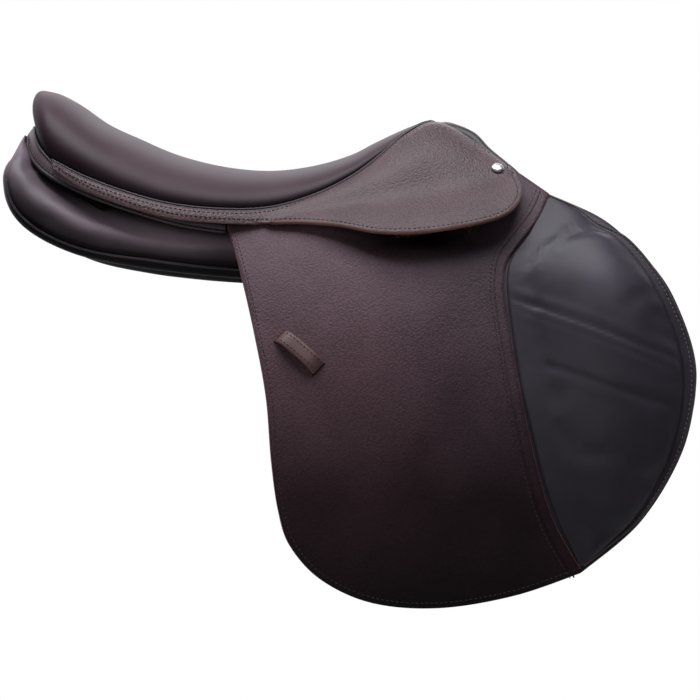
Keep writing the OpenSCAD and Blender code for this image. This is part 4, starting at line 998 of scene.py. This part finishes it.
def build_pad(side):
    u = np.linspace(0, 1, PAD_STEPS)
    t = np.concatenate([np.linspace(0, 0.9, 60)[:-1], np.linspace(0.9, 1, 31)])
    r = along(PAD_ROWS, u)
    x = r[:, 0:1] + (r[:, 2:3] - r[:, 0:1]) * t
    z = r[:, 1:2] + (r[:, 3:4] - r[:, 1:2]) * t
    h = pad_height(x, z, np.ones((PAD_STEPS, 1)) * t, np.clip(r[:, 4:5], 0, 1.02))
    outer = on_layer(x, z, FLAP_N[0] + h)
    inner = on_layer(x, z, FLAP_N[0] + 0.1)
    obj = slab("knee_pad_" + side + "_cushion", outer, inner, [pad_mat, trim_mat], side, 0.5)
    merge(obj, FINE_WELD)
    soften(obj, "pad", side, pad_held, PAD_SOFT)
    fold_with_flap(obj)
    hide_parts("knee_pad_" + side)
    k = np.argmin(np.abs(t - PAD_SEAM))
    q = even(np.stack([x[:, k], z[:, k]], axis=1)[6:-6], 500)
    pts = on_layer(q[:, 0], q[:, 1], FLAP_N[0] + PAD_EDGE)
    seam = stitch_data(pts, layer_normal(q[:, 1], FLAP_N[1]), PAD_STITCH)
    thread = make("knee_pad_" + side + "_stitches", *seam, [thread_mat], side)
    fold_with_flap(thread)
    edge = even(np.stack([x[:, -1], z[:, -1]], axis=1), 240)
    path = on_layer(edge[:, 0], edge[:, 1], FLAP_N[0] + PAD_BEAD_N)
    bead = make("knee_pad_" + side + "_bead", *tube_data(path, PAD_BEAD_R, 10), [trim_mat], side)
    fold_with_flap(bead)


# Keeper: an arched strap with stitched ends
KEEPER_AT, KEEPER_TURN = (4.0, -70.0), math.radians(53)
KEEPER_W, KEEPER_H, KEEPER_L, KEEPER_T = 14.0, 9.0, 46.0, 2.8
KEEPER_SEAMS, KEEPER_LIFT, SLIT_R = (-4.4, 4.4), 0.6, 1.0
KEEPER_RISE, KEEPER_SQUARE, KEEPER_SINK, KEEPER_CROWN = 0.8, 5, 0.4, 0.5
KEEPER_SKIN = KEEPER_T * 0.8


def keeper_place(p):
    n0 = FLAP_N[1] + KEEPER_LIFT
    base = on_layer(KEEPER_AT[0], KEEPER_AT[1], n0)
    nrm = layer_normal(np.array([KEEPER_AT[1]]), n0)[0]
    down = layer_down(np.array([KEEPER_AT[1]]), n0)[0]
    c, s = math.cos(KEEPER_TURN), math.sin(KEEPER_TURN)
    x = EX * c + down * s
    y = -EX * s + down * c
    p = np.asarray(p, float)
    return base + p[..., 0:1] * x + p[..., 1:2] * y + p[..., 2:3] * nrm


def build_keeper(side):
    t = np.linspace(-1, 1, 61)
    lx = t * KEEPER_L / 2
    lz = KEEPER_H * KEEPER_RISE * (1 - np.abs(t) ** KEEPER_SQUARE) - KEEPER_SINK
    w = np.linspace(-1, 1, 13)
    crown = KEEPER_CROWN * (1 - w ** 4)
    heights = lz[:, None] + KEEPER_SKIN + crown[None], lz[:, None] + 0 * w[None]
    top, low = [keeper_place(np.stack(np.broadcast_arrays(lx[:, None], w[None] * KEEPER_W / 2, h), axis=-1))
                for h in heights]
    obj = slab("keeper_" + side + "_strap", top, low, [keeper_mat, edge_mat], side, 0.5)
    merge(obj, FINE_WELD)
    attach(obj, "flap_" + side)
    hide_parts("keeper_" + side)
    parts = []
    up = keeper_place(np.array([[0, 0, 1.0]]))[0] - keeper_place(np.array([[0, 0, 0.0]]))[0]
    for y in KEEPER_SEAMS:
        q = np.stack([lx, np.full(len(lx), y), lz + KEEPER_SKIN + 0.45], axis=-1)[4:-4]
        parts.append(stitch_data(even(keeper_place(q), 200), np.tile(up, (200, 1)), KEEPER_STITCH))
    # Dark slits at both ends of the strap, where it goes into the flap: painted shade
    slits = []
    for x in (-1, 1):
        w = np.linspace(-1, 1, 12) * (KEEPER_W / 2 + 1)
        q = np.stack([np.full(12, x * (KEEPER_L / 2 + 0.4)), w, np.full(12, -0.7)], axis=-1)
        slits.append(tube_data(keeper_place(q), SLIT_R, 8))
    slit = make("keeper_" + side + "_slits", *join(slits), [slit_shade_mat], side)
    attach(slit, "flap_" + side)
    thread = make("keeper_" + side + "_stitches", *join(parts), [dark_thread_mat], side)
    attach(thread, "flap_" + side)


build_seat()
build_rim()
build_studs()
build_binding()
for side in SIDES:
    build_piping(side)
    build_skirt(side)
    build_panel(side)
    build_flap(side)
    build_pad(side)
    build_keeper(side)

# Solids that are shown as they are take the look of their slot
LOOKS = {"trim_leather": lining_mat, "panel_leather": panel_mat, "strap_leather": strap_mat,
         "bright_metal": chrome_mat, "bar_metal": bar_mat, "webbing": web_mat, "foam": foam_mat,
         "tree_wood": wood_mat, "seat_leather": seat_mat, "skirt_leather": skirt_mat,
         "flap_leather": flap_mat, "pad_leather": pad_mat}
slots = {s["node"]: s["material_slot"] for s in frame["record"]["subparts"]}
for name, obj in frame["nodes"].items():
    obj.data.materials.clear()
    obj.data.materials.append(LOOKS[slots[name]])

# Stage, light and camera
scene = bpy.context.scene


def stage_material(name, level):
    """Pale surface that shows as plain white, also in a reflection."""
    mat, bsdf = new_material(name)
    grain = noise(mat, add(mat, "TexCoord")["Object"], 3, 2)["Fac"]
    tone = ramp(mat, grain, [(0.0, (level - 0.02,) * 3), (1.0, (level,) * 3)])
    wire(mat, bsdf, {"Base Color": tone, "Roughness": 0.9})
    glow = add(mat, "Emission", {"Strength": 1})["Emission"]
    rays = add(mat, "LightPath")
    seen = rays["Is Camera Ray"]
    for kind in ("Is Transmission Ray", "Is Glossy Ray"):
        seen = add(mat, "Math", {0: seen, 1: rays[kind]}, operation="MAXIMUM")[0]
    shown = add(mat, "MixShader", {"Fac": seen, 1: bsdf.outputs["BSDF"], 2: glow})["Shader"]
    wire(mat, mat.node_tree.nodes["Material Output"], {"Surface": shown})
    return mat


def plane(name, centre, u, v, mat):
    c, u, v = np.array(centre), np.array(u), np.array(v)
    mesh = bpy.data.meshes.new(name)
    corners = [c - u - v, c + u - v, c + u + v, c - u + v]
    mesh.from_pydata([tuple(p) for p in corners], [], [(0, 1, 2, 3)])
    mesh.materials.append(mat)
    obj = bpy.data.objects.new(name, mesh)
    scene.collection.objects.link(obj)


pale = stage_material("backdrop", 0.9)
plane("backdrop", (0.08, 6.0, 0.0), (11.2, 0, 0), (0, 0, 7.5), pale)
floor_mat = leather("floor", (0.72, 0.72, 0.72), (0.76, 0.76, 0.76), fine=0.02, rough=0.8)
plane("floor", (0.08, -1.35, -0.95), (6, 0, 0), (0, 4.65, 0), floor_mat)

world = bpy.data.worlds.new("studio")
scene.world = world
world.use_nodes = True
sky = world.node_tree.nodes["Background"]
sky.inputs["Color"].default_value = (0.93, 0.96, 1.0, 1)
sky.inputs["Strength"].default_value = 0.14


def lamp(name, place, target, size, power, colour):
    data = bpy.data.lights.new(name, "AREA")
    data.shape = "RECTANGLE"
    data.size, data.size_y = size
    data.energy = power
    data.color = colour
    obj = bpy.data.objects.new(name, data)
    scene.collection.objects.link(obj)
    obj.location = place
    obj.rotation_euler = (Vector(target) - Vector(place)).to_track_quat("-Z", "Y").to_euler()


lamp("sky", (-0.1, -0.5, 1.75), (0.05, -0.1, 0.0), (2.0, 1.2), 44, (0.94, 0.96, 1.0))
lamp("front", (-0.6, -2.6, 0.6), (0.08, 0, -0.05), (1.6, 1.2), 4, (1.0, 0.98, 0.96))
lamp("rear", (0.3, 1.6, 1.3), (0.05, 0, 0.05), (2.0, 0.8), 6, (0.96, 0.98, 1.0))

camera = bpy.data.cameras.new("camera")
camera.lens = 115.4
camera.sensor_width = 36
eye = bpy.data.objects.new("camera", camera)
eye.location = (0.0804, -2.2, -0.066)
eye.rotation_euler = (math.pi / 2, 0, 0)
scene.collection.objects.link(eye)
scene.camera = eye
scene.view_settings.view_transform = "Standard"
